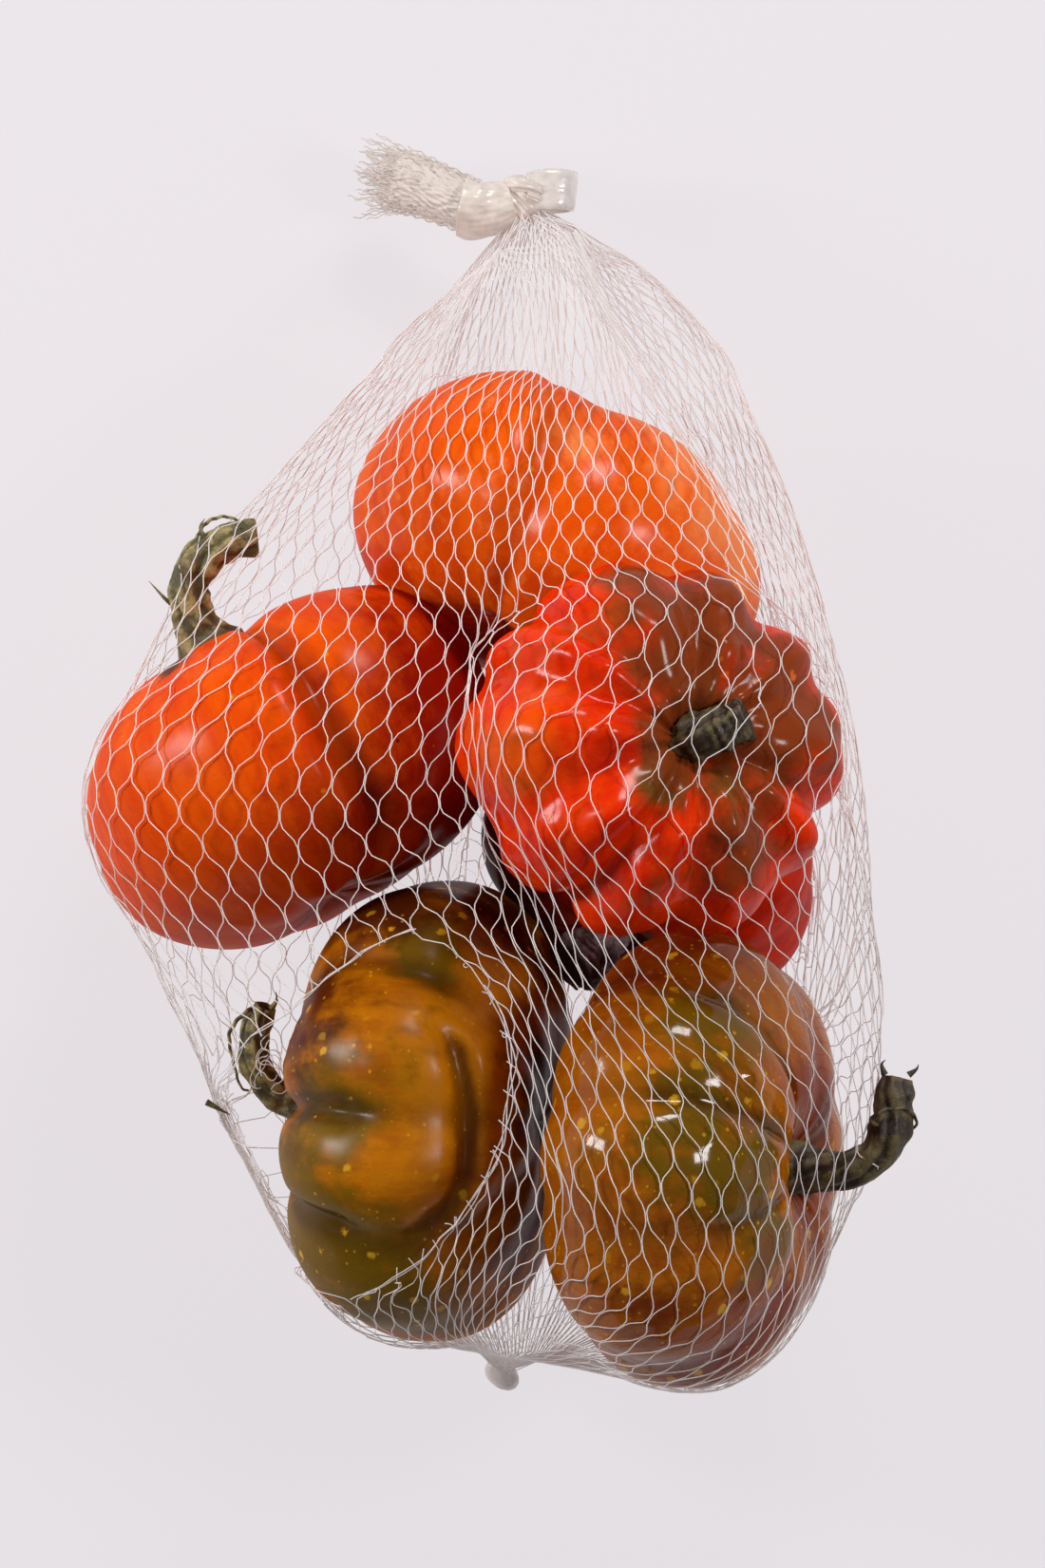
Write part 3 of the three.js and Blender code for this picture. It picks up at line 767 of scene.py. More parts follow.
def stem_section(stem):
    """Radius of a ribbed, twisted, knuckled stem: by place along it and angle round it."""
    random = np.random.default_rng(len(stem["radii"]) * 11)
    phases = random.uniform(0, 2 * np.pi, 6)

    def section(t, angle):
        radius = np.interp(t, np.linspace(0, 1, len(stem["radii"])), stem["radii"])
        turned = angle + stem["twist"] * t * 2 * np.pi * 0.5
        ridges = np.abs(np.cos(2.5 * turned)) ** 0.7 - 0.55
        minor = 0.05 * np.sin(9 * turned + phases[0]) + 0.03 * np.sin(14 * turned + 30 * t)
        swell = sum(size * bump(t - at, 0.045) for at, size in stem["knuckles"])
        rough = 0.04 * np.sin(37 * t + 3 * angle + phases[1]) + 0.03 * np.sin(61 * t - 2 * angle)
        return radius * (1 + 0.26 * ridges * (1 - 0.3 * t) + minor + swell + rough)

    return section


def stem(name):
    """Stem, thorns and tendril as one mesh."""
    stem_of = STEMS[name]
    parts = [bar("stem", stem_path(name), stem_section(stem_of), 60, stem_of["hollow"])]
    for thorn in stem_of["thorns"]:
        parts.append(bar("thorn", spread(thorn, 14), lambda t, a: 0.75 * (1 - 0.93 * t) + 0 * a, 8))
    if stem_of["tendril"]:
        parts.append(bar("tendril", spread(stem_of["tendril"], 60),
                         lambda t, a: 0.5 * (1 + 0.3 * np.sin(40 * t + a)) * (1 - 0.5 * t), 8))
    return joined(f"stem_{name}", parts)


def stem_skin(name, dark, light, spots, roughness):
    """Woody stem: pale dry ridges over a dark green or brown body, with fine cracks."""
    p = Paint(name)
    ridge = p.attribute("ridge")
    coarse = p.noise(260, 5, 0.65)
    fine = p.noise(1500, 3, 0.6)
    mixed = p.sum("ADD", ridge, p.ramp(coarse, 0.3, 0.7, -0.35, 0.35))
    colour = p.mix(p.ramp(mixed, 0.25, 0.95), tone(*dark), tone(*light))
    colour = p.mix(p.ramp(fine, 0.5, 0.72, 0, 0.5), colour, tone(*(0.5 * np.array(dark))))
    colour = p.mix(p.ramp(p.noise(120, 3), 0.52, 0.7, 0, 0.55), colour, tone(*spots))
    height = p.weighted((coarse, 0.7), (fine, 0.3))
    return p.finish(Base_Color=colour, Roughness=p.ramp(coarse, 0.3, 0.7, roughness, 0.75),
                    Specular_IOR_Level=0.5, Normal=p.bump(height, 0.5))


# ---------- Net shape ----------

NECK = np.array((8.3, 115.4, 22.0))
GATHER = np.array((3.6, -126.4, 17.0))
HEART = np.array((6.0, -5.0, 24.0))  # a point well inside the bag
KNOT = np.array((5.6, 121.2, 22.0))
AXIS = unit(NECK - GATHER)
ACROSS = unit(np.cross(AXIS, (0, 0, 1)))
ABOVE = np.cross(ACROSS, AXIS)

# Where the cells lie stretched long: (x, y), reach and amount.
ROOMY = (((-46, -2), 40, 0.42), ((32, 2), 34, 0.34), ((42, -80), 30, 0.15))

# The tear over the lower left pumpkin, from above: (y, left edge x, right edge x) in the layout.
TEAR = (
    (-33, -15.4, -15.4), (-35, -20.8, -12.8), (-38.2, -26.8, -9.2), (-41.2, -31, -6),
    (-46.4, -37.6, -2.2), (-50.8, -42, 0), (-56, -50.5, 1.3), (-60.8, -53.5, 2.2),
    (-67.6, -56, 1.6), (-77, -53.5, -0.2), (-82.4, -49.6, -2.2), (-88.6, -47, -5.6),
    (-94, -45.2, -9), (-98, -43.6, -13.6), (-102, -41.4, -19), (-106.2, -38.8, -24.4),
    (-110.8, -32.4, -32.4),
)
TEAR_RIGHT = ((-112, 17), (-60, 17), (-36, 34))  # (y, x) to which strands to its right are drawn
TEAR_MIDDLE, TEAR_REACH = (-19.5, -71), (44, 28)  # of the oval that the whole net spans
TEAR_HEADING = (0.19, 0.98)  # the oval's long way
TORN = 9  # marks the knots that the tear took away
UPPER = 30  # the bag's upper side lies above this height
SPAN_ROUNDS, RELAX_ROUNDS = 500, 90
OUTSIDE = 400  # from the bag's middle to where rays start
FRUIT_REACH, STEM_REACH = 52, 34  # nothing of a fruit or stem lies further from its middle
YARN_GAP, KNOT_GAP, LOOSE_GAP = 0.3, 0.35, 0.4  # from the middle of a yarn to what it lies on
END_REACH = 9  # yarns that end this near the bag's ends run on into the knot and the lump
# Left side of the bag beside the tear, from above: (y, x).
LEFT_SIDE = ((-28, -75.5), (-41, -71.8), (-57, -66.8), (-77, -58.4), (-91, -51.4), (-105, -43.6),
             (-116, -32))

# Folds of the loose part below the neck, as seen from above, how wide they are and how strong.
PLEAT_WIDTH, PLEAT_PULL = 6.5, 0.72
PLEATS = (
    ((15.6, 115.8), (20.6, 99.2), (25.8, 89), (31, 78.8), (34.2, 74), (42.4, 61.8), (47.4, 51.8),
     (52.4, 43.6), (56.6, 35.2)),
    ((15.6, 115.8), (24.6, 112), (35.2, 102.8), (44.2, 94), (52.4, 85), (57.4, 76)),
    ((2.8, 111), (-9.2, 104.4), (-23, 92.6), (-30, 84)),
    ((-1.2, 107.6), (-8.2, 97.2), (-15, 86.8), (-23, 76.6)),
)


def bag_tree():
    bm = bmesh.new()
    for node in ["net", *(f"pumpkin_{name}" for name in PUMPKINS),
                 *(f"stem_{name}" for name in STEMS)]:
        bm.from_mesh(bpy.data.objects[node].data)
    tree = BVHTree.FromBMesh(bm)
    bm.free()
    return tree


def bag_surface(tree, turns=240, steps=260):
    """Outer surface of the full bag in the layout: [step from neck to gather, turn round it]."""
    to_neck = math.acos(float(unit(NECK - HEART) @ AXIS)) + 0.03
    to_gather = math.pi - math.acos(float(unit(HEART - GATHER) @ AXIS)) - 0.03
    surface = np.empty((steps, turns, 3))
    for i, polar in enumerate(np.linspace(to_neck, to_gather, steps)):
        for j in range(turns):
            turn = 2 * math.pi * j / turns  # starts and ends underneath
            radial = -ABOVE * math.cos(turn) - ACROSS * math.sin(turn)
            direction = AXIS * math.cos(polar) + radial * math.sin(polar)
            start = place(HEART + direction * OUTSIDE)
            hit, _, _, _ = tree.ray_cast(Vector(start), Vector(-direction))
            surface[i, j] = unplace(hit) if hit else HEART
    for name, pumpkin in PUMPKINS.items():
        away = surface - MIDDLES[name]
        distance = np.linalg.norm(away, axis=2)
        local = away / distance[..., None]
        polar = np.arccos(np.clip(local @ axes_of(pumpkin)[0], -1, 1))
        touching = distance < plain_radius(pumpkin, polar, dimpled=False) + 4
        surface[touching] += local[touching] * bulged(name, local[touching])[:, None]
    # The net's CAD solid is open at the tear: the whole net is first spanned over it.
    along = unit(TEAR_HEADING)
    from_heart = surface - HEART
    raised = HEART + from_heart * (46 / np.maximum(from_heart[..., 2:], 6))
    over = np.zeros((steps, turns), bool)
    for points in (surface, raised):
        away = points[..., :2] - TEAR_MIDDLE
        over |= ((away @ along / TEAR_REACH[0]) ** 2
                 + (away @ (along[1], -along[0]) / TEAR_REACH[1]) ** 2) < 1
    over &= surface[..., 2] > UPPER
    for _ in range(SPAN_ROUNDS):
        mean = (np.roll(surface, 1, 1) + np.roll(surface, -1, 1) + np.roll(surface, 1, 0)
                + np.roll(surface, -1, 0)) / 4
        surface[over] = mean[over]
    return surface


def cover_tree(surface):
    """The bag's outer surface, to find heights on."""
    steps, turns, _ = surface.shape
    placed = place(surface)
    bm = bmesh.new()
    bmesh.ops.create_grid(bm, x_segments=turns, y_segments=steps - 1, size=0.5)
    for vertex in bm.verts:
        i = round((vertex.co.y + 0.5) * (steps - 1))
        vertex.co = placed[i, round((vertex.co.x + 0.5) * turns) % turns]
    tree = BVHTree.FromBMesh(bm)
    bm.free()
    return tree


def mesh_grid(surface, columns, strand):
    """Knots of the net in the layout: [row, column, xyz], half a column aside in odd rows."""
    turns = surface.shape[1]
    # Steps up and down count for less on the upper side, so its cells look even from above.
    flatten = 1 - 0.5 * bump(angle_between(2 * np.pi * np.arange(turns) / turns, np.pi), 1.0)
    weights = np.stack([np.ones(turns), np.ones(turns), flatten], axis=1)
    underneath = 1 - 0.3 * bump(angle_between(2 * np.pi * np.arange(turns) / turns, 0), 1.1)
    jumps = np.linalg.norm(np.diff(surface, axis=0) * weights, axis=2)
    for (x, y), reach, amount in ROOMY:
        away = np.hypot(surface[1:, :, 0] - x, surface[1:, :, 1] - y)
        jumps *= 1 - amount * bump(away, reach) * (surface[1:, :, 2] > UPPER)
    loops = np.linalg.norm(surface - np.roll(surface, 1, axis=1), axis=2).sum(1)
    width = np.minimum(loops / columns, 1.7 * strand)
    pace = 0.97 * np.sqrt(strand**2 - (width / 2) ** 2)
    paces = (pace[1:] + pace[:-1])[:, None] / 2
    count = np.vstack([np.zeros(turns), np.cumsum(jumps / paces, axis=0)])
    rows = int(round(0.95 * count[-1, turns // 4:3 * turns // 4].mean()))
    grid = np.empty((rows + 1, columns, 3))
    for i in range(rows + 1):
        ring = np.empty((turns + 1, 3))
        for j in range(turns):
            for k in range(3):
                ring[j, k] = np.interp(i / rows * count[-1, j], count[:, j], surface[:, j, k])
        ring[-1] = ring[0]
        gaps = np.diff(ring, axis=0) * weights * underneath[:, None]
        around = np.concatenate([[0], np.cumsum(np.linalg.norm(gaps, axis=1))])
        places = ((np.arange(columns) + 0.5 * (i % 2)) / columns * around[-1]) % around[-1]
        grid[i] = np.stack([np.interp(places, around, ring[:, k]) for k in range(3)], axis=1)
    return grid


def below(grid):
    """The two knots of the next row that each knot's strands run to: left and right."""
    right = grid[1:].copy()
    left = grid[1:].copy()
    left[0::2] = np.roll(grid[1:][0::2], 1, axis=1)
    right[1::2] = np.roll(grid[1:][1::2], -1, axis=1)
    return left, right


def spread_back(values, side):
    """Hands values of the strands back to their lower knots."""
    handed = values.copy()
    if side == "left":
        handed[0::2] = np.roll(values[0::2], -1, axis=1)
    else:
        handed[1::2] = np.roll(values[1::2], 1, axis=1)
    return handed


def push_off(points, gap, fine=False):
    """Moves points out of the pumpkins, the stems and the table."""
    for name, pumpkin in PUMPKINS.items():
        axis, front, side = axes_of(pumpkin)
        away = points - MIDDLES[name]
        distance = np.linalg.norm(away, axis=-1)
        near = distance < FRUIT_REACH
        if not near.any():
            continue
        local = away[near] / distance[near][:, None]
        directions = np.stack([local @ front, local @ side, local @ axis], axis=1)
        polar = np.arccos(np.clip(directions[:, 2], -1, 1))
        reach = plain_radius(pumpkin, polar, dimpled=False) + gap
        swell = bulged(name, local)
        if fine:
            azimuth = np.arctan2(directions[:, 1], directions[:, 0])
            swell = np.maximum(swell - 0.1, relief(name, directions, polar, azimuth))
        reach = reach + swell
        points[near] = MIDDLES[name] + local * np.maximum(distance[near], reach)[:, None]
    for name, stem_of in STEMS.items():
        path = stem_path(name, 24)
        radii = np.interp(np.linspace(0, 1, 24), np.linspace(0, 1, len(stem_of["radii"])),
                          stem_of["radii"]) * 1.1 + gap
        near = np.linalg.norm(points - path.mean(0), axis=-1) < STEM_REACH
        chosen = points[near]
        for centre, radius in zip(path[3:], radii[3:]):
            away = chosen - centre
            distance = np.linalg.norm(away, axis=-1, keepdims=True)
            chosen = np.where(distance < radius, centre + away / distance * radius, chosen)
        points[near] = chosen
    points[..., 2] = np.maximum(points[..., 2], gap)
    return points


def relax(grid, strand):
    """Lets the knots slide until no strand is longer than it is, lying on what they cover."""
    home = grid.copy()
    for _ in range(RELAX_ROUNDS):
        left, right = below(grid)
        shift = np.zeros_like(grid)
        mean = np.zeros_like(grid)
        count = np.zeros(grid.shape[:2] + (1,))
        for side, other in (("left", left), ("right", right)):
            along = other - grid[:-1]
            size = np.linalg.norm(along, axis=2, keepdims=True)
            tight = np.maximum(size - strand, 0) + 0.22 * np.minimum(size - 0.97 * strand, 0)
            pull = along * tight / np.maximum(size, 1e-6) / 2
            shift[:-1] += pull
            shift[1:] -= spread_back(pull, side)
            mean[:-1] += other
            mean[1:] += spread_back(grid[:-1], side)
            count[:-1] += 1
            count[1:] += 1
        moved = grid + shift * 0.5 + 0.1 * (mean / count - grid) + 0.05 * (home - grid)
        moved[0], moved[-1] = grid[0], grid[-1]
        grid = push_off(moved, YARN_GAP)
    return grid


def tear_at(y):
    """Left and right edge of the tear, and the line along which it opened, at a height y."""
    rows = np.array(TEAR)[::-1]
    left = np.interp(y, rows[:, 0], rows[:, 1])
    right = np.interp(y, rows[:, 0], rows[:, 2])
    seam = np.interp(y, (rows[0, 0], rows[-1, 0]), (rows[0, 1], rows[-1, 1]))
    seam += 13 * np.sin(np.pi * np.clip((y - rows[0, 0]) / (rows[-1, 0] - rows[0, 0]), 0, 1))
    return left, right, seam


def level_with_tear(grid):
    """Which knots lie on the bag's upper side, between the tear's two ends."""
    y = grid[..., 1]
    return (y < TEAR[0][0]) & (y > TEAR[-1][0]) & (grid[..., 2] > UPPER)


def side_of_tear(grid):
    """-1 or 1 for knots left or right of the line along which the net tore, 0 for others."""
    left, right, seam = tear_at(grid[..., 1])
    beside = level_with_tear(grid) & (right - left > 4) & (grid[..., 0] < 30)
    return np.where(beside, np.where(grid[..., 0] < seam, -1, 1), 0)


def in_tear(grid):
    left, right, _ = tear_at(grid[..., 1])
    return level_with_tear(grid) & (grid[..., 0] > left + 0.4) & (grid[..., 0] < right - 0.4)


def rim_point(outside, inside):
    """Where the way from a knot outside the tear to one inside it meets the rim."""
    for t in np.linspace(0, 1, 16):
        spot = outside + (inside - outside) * t
        left, right, _ = tear_at(spot[1])
        if left < spot[0] < right:
            return spot
    return inside


def open_tear(grid, trees):
    """Draws the strands over the tear aside, into a rope on its right and along the bag's side."""
    x, y = grid[..., 0].copy(), grid[..., 1]
    left, right, seam = tear_at(y)
    side = np.array(LEFT_SIDE)[::-1]
    outer = np.interp(y, side[:, 0], side[:, 1])
    within = level_with_tear(grid)
    limit = np.interp(y, *np.array(TEAR_RIGHT).T)
    to_right = within & (x >= seam) & (x < limit)
    share = np.clip((x - seam) / (limit - seam), 0, 1)
    lost = 0.3 * smooth_step(-36, -58, y) * smooth_step(-108, -92, y)
    to_right &= share >= lost
    share = np.clip((share - lost) / (1 - lost), 0, 1)
    drawn_right = right + (limit - right) * share**1.17
    to_left = within & (x < seam) & (x > outer)
    share = np.clip((seam - x) / (seam - outer), 0, 1)
    drawn_left = left + (outer - left) * share**1.1
    drawn_left = x + (drawn_left - x) * smooth_step(-56, -70, y)
    x = np.where(to_right, drawn_right, np.where(to_left, drawn_left, x))
    for i, j in zip(*np.nonzero(to_right | to_left)):
        z = max(height_over(trees, x[i, j], y[i, j], 32), 20)
        grid[i, j] = x[i, j], y[i, j], z + 0.4
    return grid


def height_at(tree, x, y):
    hit, _, _, _ = tree.ray_cast(Vector(place((x, y, 300))), Vector((0, 0, -1)))
    return unplace(hit)[2] if hit else None


def height_over(trees, x, y, otherwise=60):
    """Height of the highest of several things at a spot, or another number where none is."""
    return max(height_at(tree, x, y) or 0 for tree in trees) or otherwise


def heights_over(trees, x, y):
    return np.array([height_over(trees, *spot) for spot in zip(x, y)])


def fold(grid):
    """Draws the loose strands below the neck together into pleats."""
    upper = grid[..., 2] > 24
    for pleat in PLEATS:
        path = spread(np.array([(x, y, 0) for x, y in pleat]), 60)[:, :2]
        away = path[None, None] - grid[:, :, None, :2]
        distance = np.linalg.norm(away, axis=3)
        nearest = distance.argmin(2)
        step = np.take_along_axis(away, nearest[..., None, None], axis=2)[:, :, 0]
        gap = distance.min(2)
        along = nearest / (len(path) - 1)
        amount = PLEAT_PULL * bump(gap, PLEAT_WIDTH) * upper * (1 - smooth_step(0.75, 1.0, along))
        grid[..., :2] += step * amount[..., None]
    return grid


def yarn_paths(grid, sides, random):
    """Two yarns for each column, side by side along each knot and apart between knots.

    A yarn ends where it would cross the tear and starts again on the other side.
    """
    rows, columns, _ = grid.shape
    left, right = below(grid)
    after = np.concatenate([(left + right) / 2, grid[-1:]])
    before = np.concatenate([grid[:1], grid[:-1]])
    up = (spread_back(grid[:-1], "left") + spread_back(grid[:-1], "right")) / 2
    before[1:] = up
    along = unit(after - before + 1e-9)
    span = np.roll(grid, -1, axis=1) - np.roll(grid, 1, axis=1)
    width = np.linalg.norm(span, axis=2, keepdims=True) / 2
    across = unit(span - along * (span * along).sum(2, keepdims=True) + 1e-9)
    apart = across * np.minimum(0.17, 0.12 + 0.01 * width) * np.where(width < 1.2, 0.7, 1)
    apart = apart + random.normal(0, 0.035, grid.shape)
    pace = np.linalg.norm(after - before, axis=2, keepdims=True) / 2
    half = along * np.minimum(0.95, 0.17 * pace) * random.uniform(0.8, 1.15, (rows, columns, 1))
    paths = []
    for column in range(columns):
        for hand in (1, -1):
            path, torn = [], None
            for row in range(rows):
                k = column if row % 2 == 0 or hand == 1 else column - 1
                if sides[row, k] == TORN:
                    if path:
                        paths.append(np.array(path + [rim_point(path[-1], grid[row, k])]))
                    path, torn = [], grid[row, k]
                    continue
                side = hand if row % 2 == 0 else -hand
                middle = grid[row, k] + side * apart[row, k]
                start, end = middle - half[row, k], middle + half[row, k]
                if path and sides[row, k] * last_side == -1:
                    paths.append(np.array(path))
                    path = []
                if path:
                    last = path[-1]
                    size = np.linalg.norm(start - last)
                    a = last + lean * size * 0.36
                    b = start - along[row, k] * size * 0.36
                    bow = random.normal(0, 0.05, 3)
                    for t in (0.25, 0.5, 0.75):
                        path.append((1 - t) ** 3 * last + 3 * (1 - t) ** 2 * t * a
                                    + 3 * (1 - t) * t * t * b + t**3 * start
                                    + bow * math.sin(math.pi * t))
                elif torn is not None:
                    path.append(rim_point(start, torn))
                torn = None
                path.extend((start, end))
                lean, last_side = along[row, k], sides[row, k]
            if path:
                paths.append(np.array(path))
    return paths


def rim_rope(random, trees, yarns=3, edge_yarns=2, curls=3):
    """Yarns drawn into a loose rope along the tear's edge, and torn ends curling off it."""
    y = np.linspace(-36, -109.8, 130)
    _, right, _ = tear_at(y)
    ropes = []
    for k in range(yarns):
        thick = np.interp(y, (-108, -90, -62, -48, -36), (0.3, 0.5, 0.7, 0.4, 0.2))
        wind = y * random.uniform(0.16, 0.3) + random.uniform(0, 6)
        x = right + 0.5 + thick * (1 + np.cos(wind))
        z = heights_over(trees, x, y)
        rope = np.stack([x, y, z + 0.5 + 0.6 * thick * (1 + np.sin(wind))], axis=1)
        ropes.append(rope[6 + 9 * k:130 - random.integers(0, 6)])
    y = np.linspace(-33.4, -68, 90)
    left, _, _ = tear_at(y)
    for k in range(edge_yarns):
        x = left - 0.2 - 0.35 * k + 0.3 * np.sin(y * (0.9 + 0.3 * k))
        z = heights_over(trees, x, y)
        ropes.append(np.stack([x, y, z + 0.6], axis=1))
    for _ in range(curls):
        t = np.linspace(0, 1, 14)
        y0 = random.uniform(-106, -35)
        left, right, _ = tear_at(y0)
        edge, inward = (right, -1) if random.uniform() < 0.7 else (left, 1)
        heading = random.uniform(-0.7, 0.7) + random.uniform(-5, 5) * t
        step = random.uniform(1.0, 2.4) / 14
        x = edge + inward * (np.cumsum(np.cos(heading)) * step - 0.6)
        y = y0 + np.cumsum(np.sin(heading)) * step
        z = heights_over(trees, x, y)
        if z.min() > 40:
            ropes.append(np.stack([x, y, z + 0.4 + 1.2 * t * random.uniform(0, 1)], axis=1))
    return ropes


def stem_loops(random, count=6):
    """Torn loops that hang round the stem beside the tear."""
    middle = np.array((-49.0, -63.0, 44.0))
    loops = []
    for _ in range(count):
        t = np.linspace(0, 1, 26)
        size = random.uniform(1.8, 4)
        turn = random.uniform(0, 2 * math.pi) + t * random.uniform(2.2, 5.6)
        centre = middle + random.normal(0, 1, 3) * (1.6, 4, 1)
        wobble = 1 + 0.25 * np.sin(3 * turn + random.uniform(0, 6))
        loops.append(centre + np.stack([np.cos(turn) * size * 0.8 * wobble,
                                        np.sin(turn) * size * wobble,
                                        1.2 * np.sin(2 * turn) + 2 * t], axis=1))
    return loops


def net_yarns(columns, strand):
    """Every yarn of the net in the layout, in order round the bag."""
    random = np.random.default_rng(SEED)
    bag = bag_tree()
    surface = bag_surface(bag)
    trees = (cover_tree(surface), bag)
    grid = relax(mesh_grid(surface, columns, strand), strand)
    sides = side_of_tear(grid)
    grid = push_off(open_tear(fold(grid), trees), KNOT_GAP)
    sides = np.where(in_tear(grid), TORN, sides)
    paths = []
    into_knot = random.normal(0, 1, (2 * columns, 3)) * (1.6, 0.8, 1.4)
    into_seal = random.normal(0, 1, (2 * columns, 3)) * (0.9, 0.9, 0.7)
    for k, path in enumerate(yarn_paths(grid, sides, random)):
        k = k % (2 * columns)
        if np.linalg.norm(path[0] - grid[0].mean(0)) > END_REACH or len(path) < 4:
            paths.append(path)
            continue
        top = KNOT + (1.2, -2.6, 0) + into_knot[k]
        paths.append(np.vstack([top, (top + 2 * path[0]) / 3, path]))
    for k, path in enumerate(paths):
        if np.linalg.norm(path[-1] - grid[-1].mean(0)) < END_REACH:
            end = np.array(END_SEAL) + (0.7, 1.2, 0.4) + into_seal[k % (2 * columns)]
            paths[k] = np.vstack([path, (2 * path[-1] + end) / 3, end])
    paths = [path for path in paths if len(path) > 3]
    loose = rim_rope(random, trees) + stem_loops(random)
    return [push_off(path, YARN_GAP, fine=True) for path in paths], [
        push_off(path, LOOSE_GAP, fine=True) for path in loose]


def yarn_skin(name, colour, clearness, painted_glow):
    """Plastic yarn of many fine filaments: pale, a little clear, with a soft shine."""
    p = Paint(name)
    fibres = p.noise(5200, 2, 0.5)
    blend = p.mix(p.ramp(fibres, 0.35, 0.7), tone(*colour), tone(*(0.93 * np.array(colour))))
    # The emission is painted light: the yarn glows though it is no lamp.
    return p.finish(Base_Color=blend, Roughness=p.ramp(fibres, 0.3, 0.7, 0.45, 0.6),
                    Transmission_Weight=clearness, IOR=1.4, Specular_IOR_Level=0.4,
                    Emission_Color=tone(*colour), Emission_Strength=painted_glow,
                    Normal=p.bump(fibres, 0.06))


# ---------- Knot, tail and melted end ----------


def knot_meshes():
    """The wound lump and its collar."""
    mesh, directions = ball("lump", 112, 72)
    lean = unit((0.62, 0.74, 0.2))
    turn = np.arctan2(directions @ unit(np.cross(lean, (0, 0, 1))), directions[:, 2])
    along = directions @ lean
    radius = 4.9 + 0.3 * np.sin(along * 9 + turn) + 0.14 * np.sin(along * 31 + 3 * turn)
    radius += ripples(directions, 12, ((3, 0.25), (9, 0.1)))
    move_vertices(mesh, place(KNOT + directions * radius[:, None] * (0.95, 1.0, 0.98)))
    parts = [mesh]
    for k, (reach, tilt, start, sweep, thick) in enumerate((
            (4.7, 0.5, 0.3, 5.2, 1.5), (4.5, -0.5, 2.0, 4.6, 1.35), (4.9, 0.1, 4.0, 3.8, 1.2))):
        turns = start + np.linspace(0, sweep, 44)
        loop = np.stack([np.cos(turns), np.sin(turns) * math.cos(tilt) * 0.96,
                         np.sin(turns) * math.sin(tilt) + 0.16 * np.sin(2 * turns)], axis=1)
        loop = np.stack([loop[:, 0] * 0.9, loop[:, 2] * 1.0, loop[:, 1]], axis=1) @ np.array(
            ((0.8, -0.6, 0), (0.6, 0.8, 0), (0, 0, 1)))
        parts.append(bar(f"loop{k}", KNOT + loop * reach,
                         lambda t, a, w=thick: w * (1 + 0.12 * np.sin(9 * a + 14 * t))
                         * (0.75 + 0.35 * np.sin(np.pi * t)), 40))
    collar = np.array(((3.4, 119.9, 22), (0, 119, 21.8), (-4, 118.6, 21.5), (-7.8, 119.3, 21.2)))
    parts.append(bar("collar", spread(collar, 40),
                     lambda t, a: (4.9 + 1.5 * t + 0.25 * np.cos(2 * a + 1))
                     * (1 + 0.045 * np.sin(3 * a + 7 * t) + 0.012 * np.sin(23 * a + 5 * t)
                        + 0.014 * np.sin(9 * a - 8 * t) + 0.02 * np.sin(14 * t + a)), 96, 0.8))
    return parts


def band_mesh():
    """The clear flat band that ends in a loop beside the knot."""
    path = np.array(((6.5, 122.4, 25.6), (11, 122.9, 26), (14.6, 122.7, 24.8), (16.2, 122.4, 22),
                     (14.8, 122.2, 19.2), (11, 122.3, 18.2), (6.5, 122.4, 18.6)))

    def section(t, angle):
        wide = 3.9 + 0.5 * np.sin(math.pi * t) + 0.25 * np.sin(9 * t)
        flat = (np.abs(np.cos(angle) / wide) ** 5 + np.abs(np.sin(angle) / 0.6) ** 5) ** -0.2
        return flat * (1 + 0.03 * np.sin(5 * angle + 8 * t))

    return bar("band", spread(path, 60), section, 64)


TAIL = ((-6, 119.4, 21.3), (-12.5, 122.2, 20), (-20, 125, 18), (-30.6, 127, 16))


def tail_core():
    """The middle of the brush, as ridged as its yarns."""
    random = np.random.default_rng(SEED + 2)
    waves = random.uniform(11, 34, 9).round()
    phases = random.uniform(0, 6, (2, 9))

    def section(t, angle):
        full = 5.9 + 0.7 * t
        end = np.sqrt(np.clip(1 - smooth_step(0.82, 1.0, t) ** 2, 0.02, 1))
        grain = sum(np.sin(w * angle + a + 5 * np.sin(9 * t + b))
                    for w, a, b in zip(waves, *phases)) * 0.022
        return full * (0.9 + grain) * end * (1 - 0.16 * np.sin(angle) ** 2)

    return bar("core", spread(TAIL, 60)[:44], section, 150)


BRUSH_FLATNESS = 0.72  # height of the brush as a share of its width


def tail_yarns(count):
    """Loose cut ends of the net's yarns, fanned out into a brush."""
    random = np.random.default_rng(SEED + 1)
    path = spread(TAIL, 40)
    first, second = sides_of(path)
    yarns = []
    for _ in range(count):
        turn = random.uniform(0, 2 * math.pi)
        at = math.sqrt(random.uniform(0, 1))
        cut = int(random.uniform(20, 40))
        t = np.linspace(0, 1, 40)
        reach = at * (6.0 + 1.6 * t**1.4 * random.uniform(0.7, 1.35))
        swirl = turn + random.normal(0, 0.35) * t
        crimp = 0.28 * np.sin(t * random.uniform(44, 62) + random.uniform(0, 6))
        offset = (first * (np.cos(swirl) * reach + crimp)[:, None]
                  + second * (np.sin(swirl) * reach * BRUSH_FLATNESS)[:, None])
        stray = random.normal(0, 1, 3) * (1, 2.2, 1.2)
        yarns.append((path + offset + stray * (t**3)[:, None])[:cut])
    return yarns


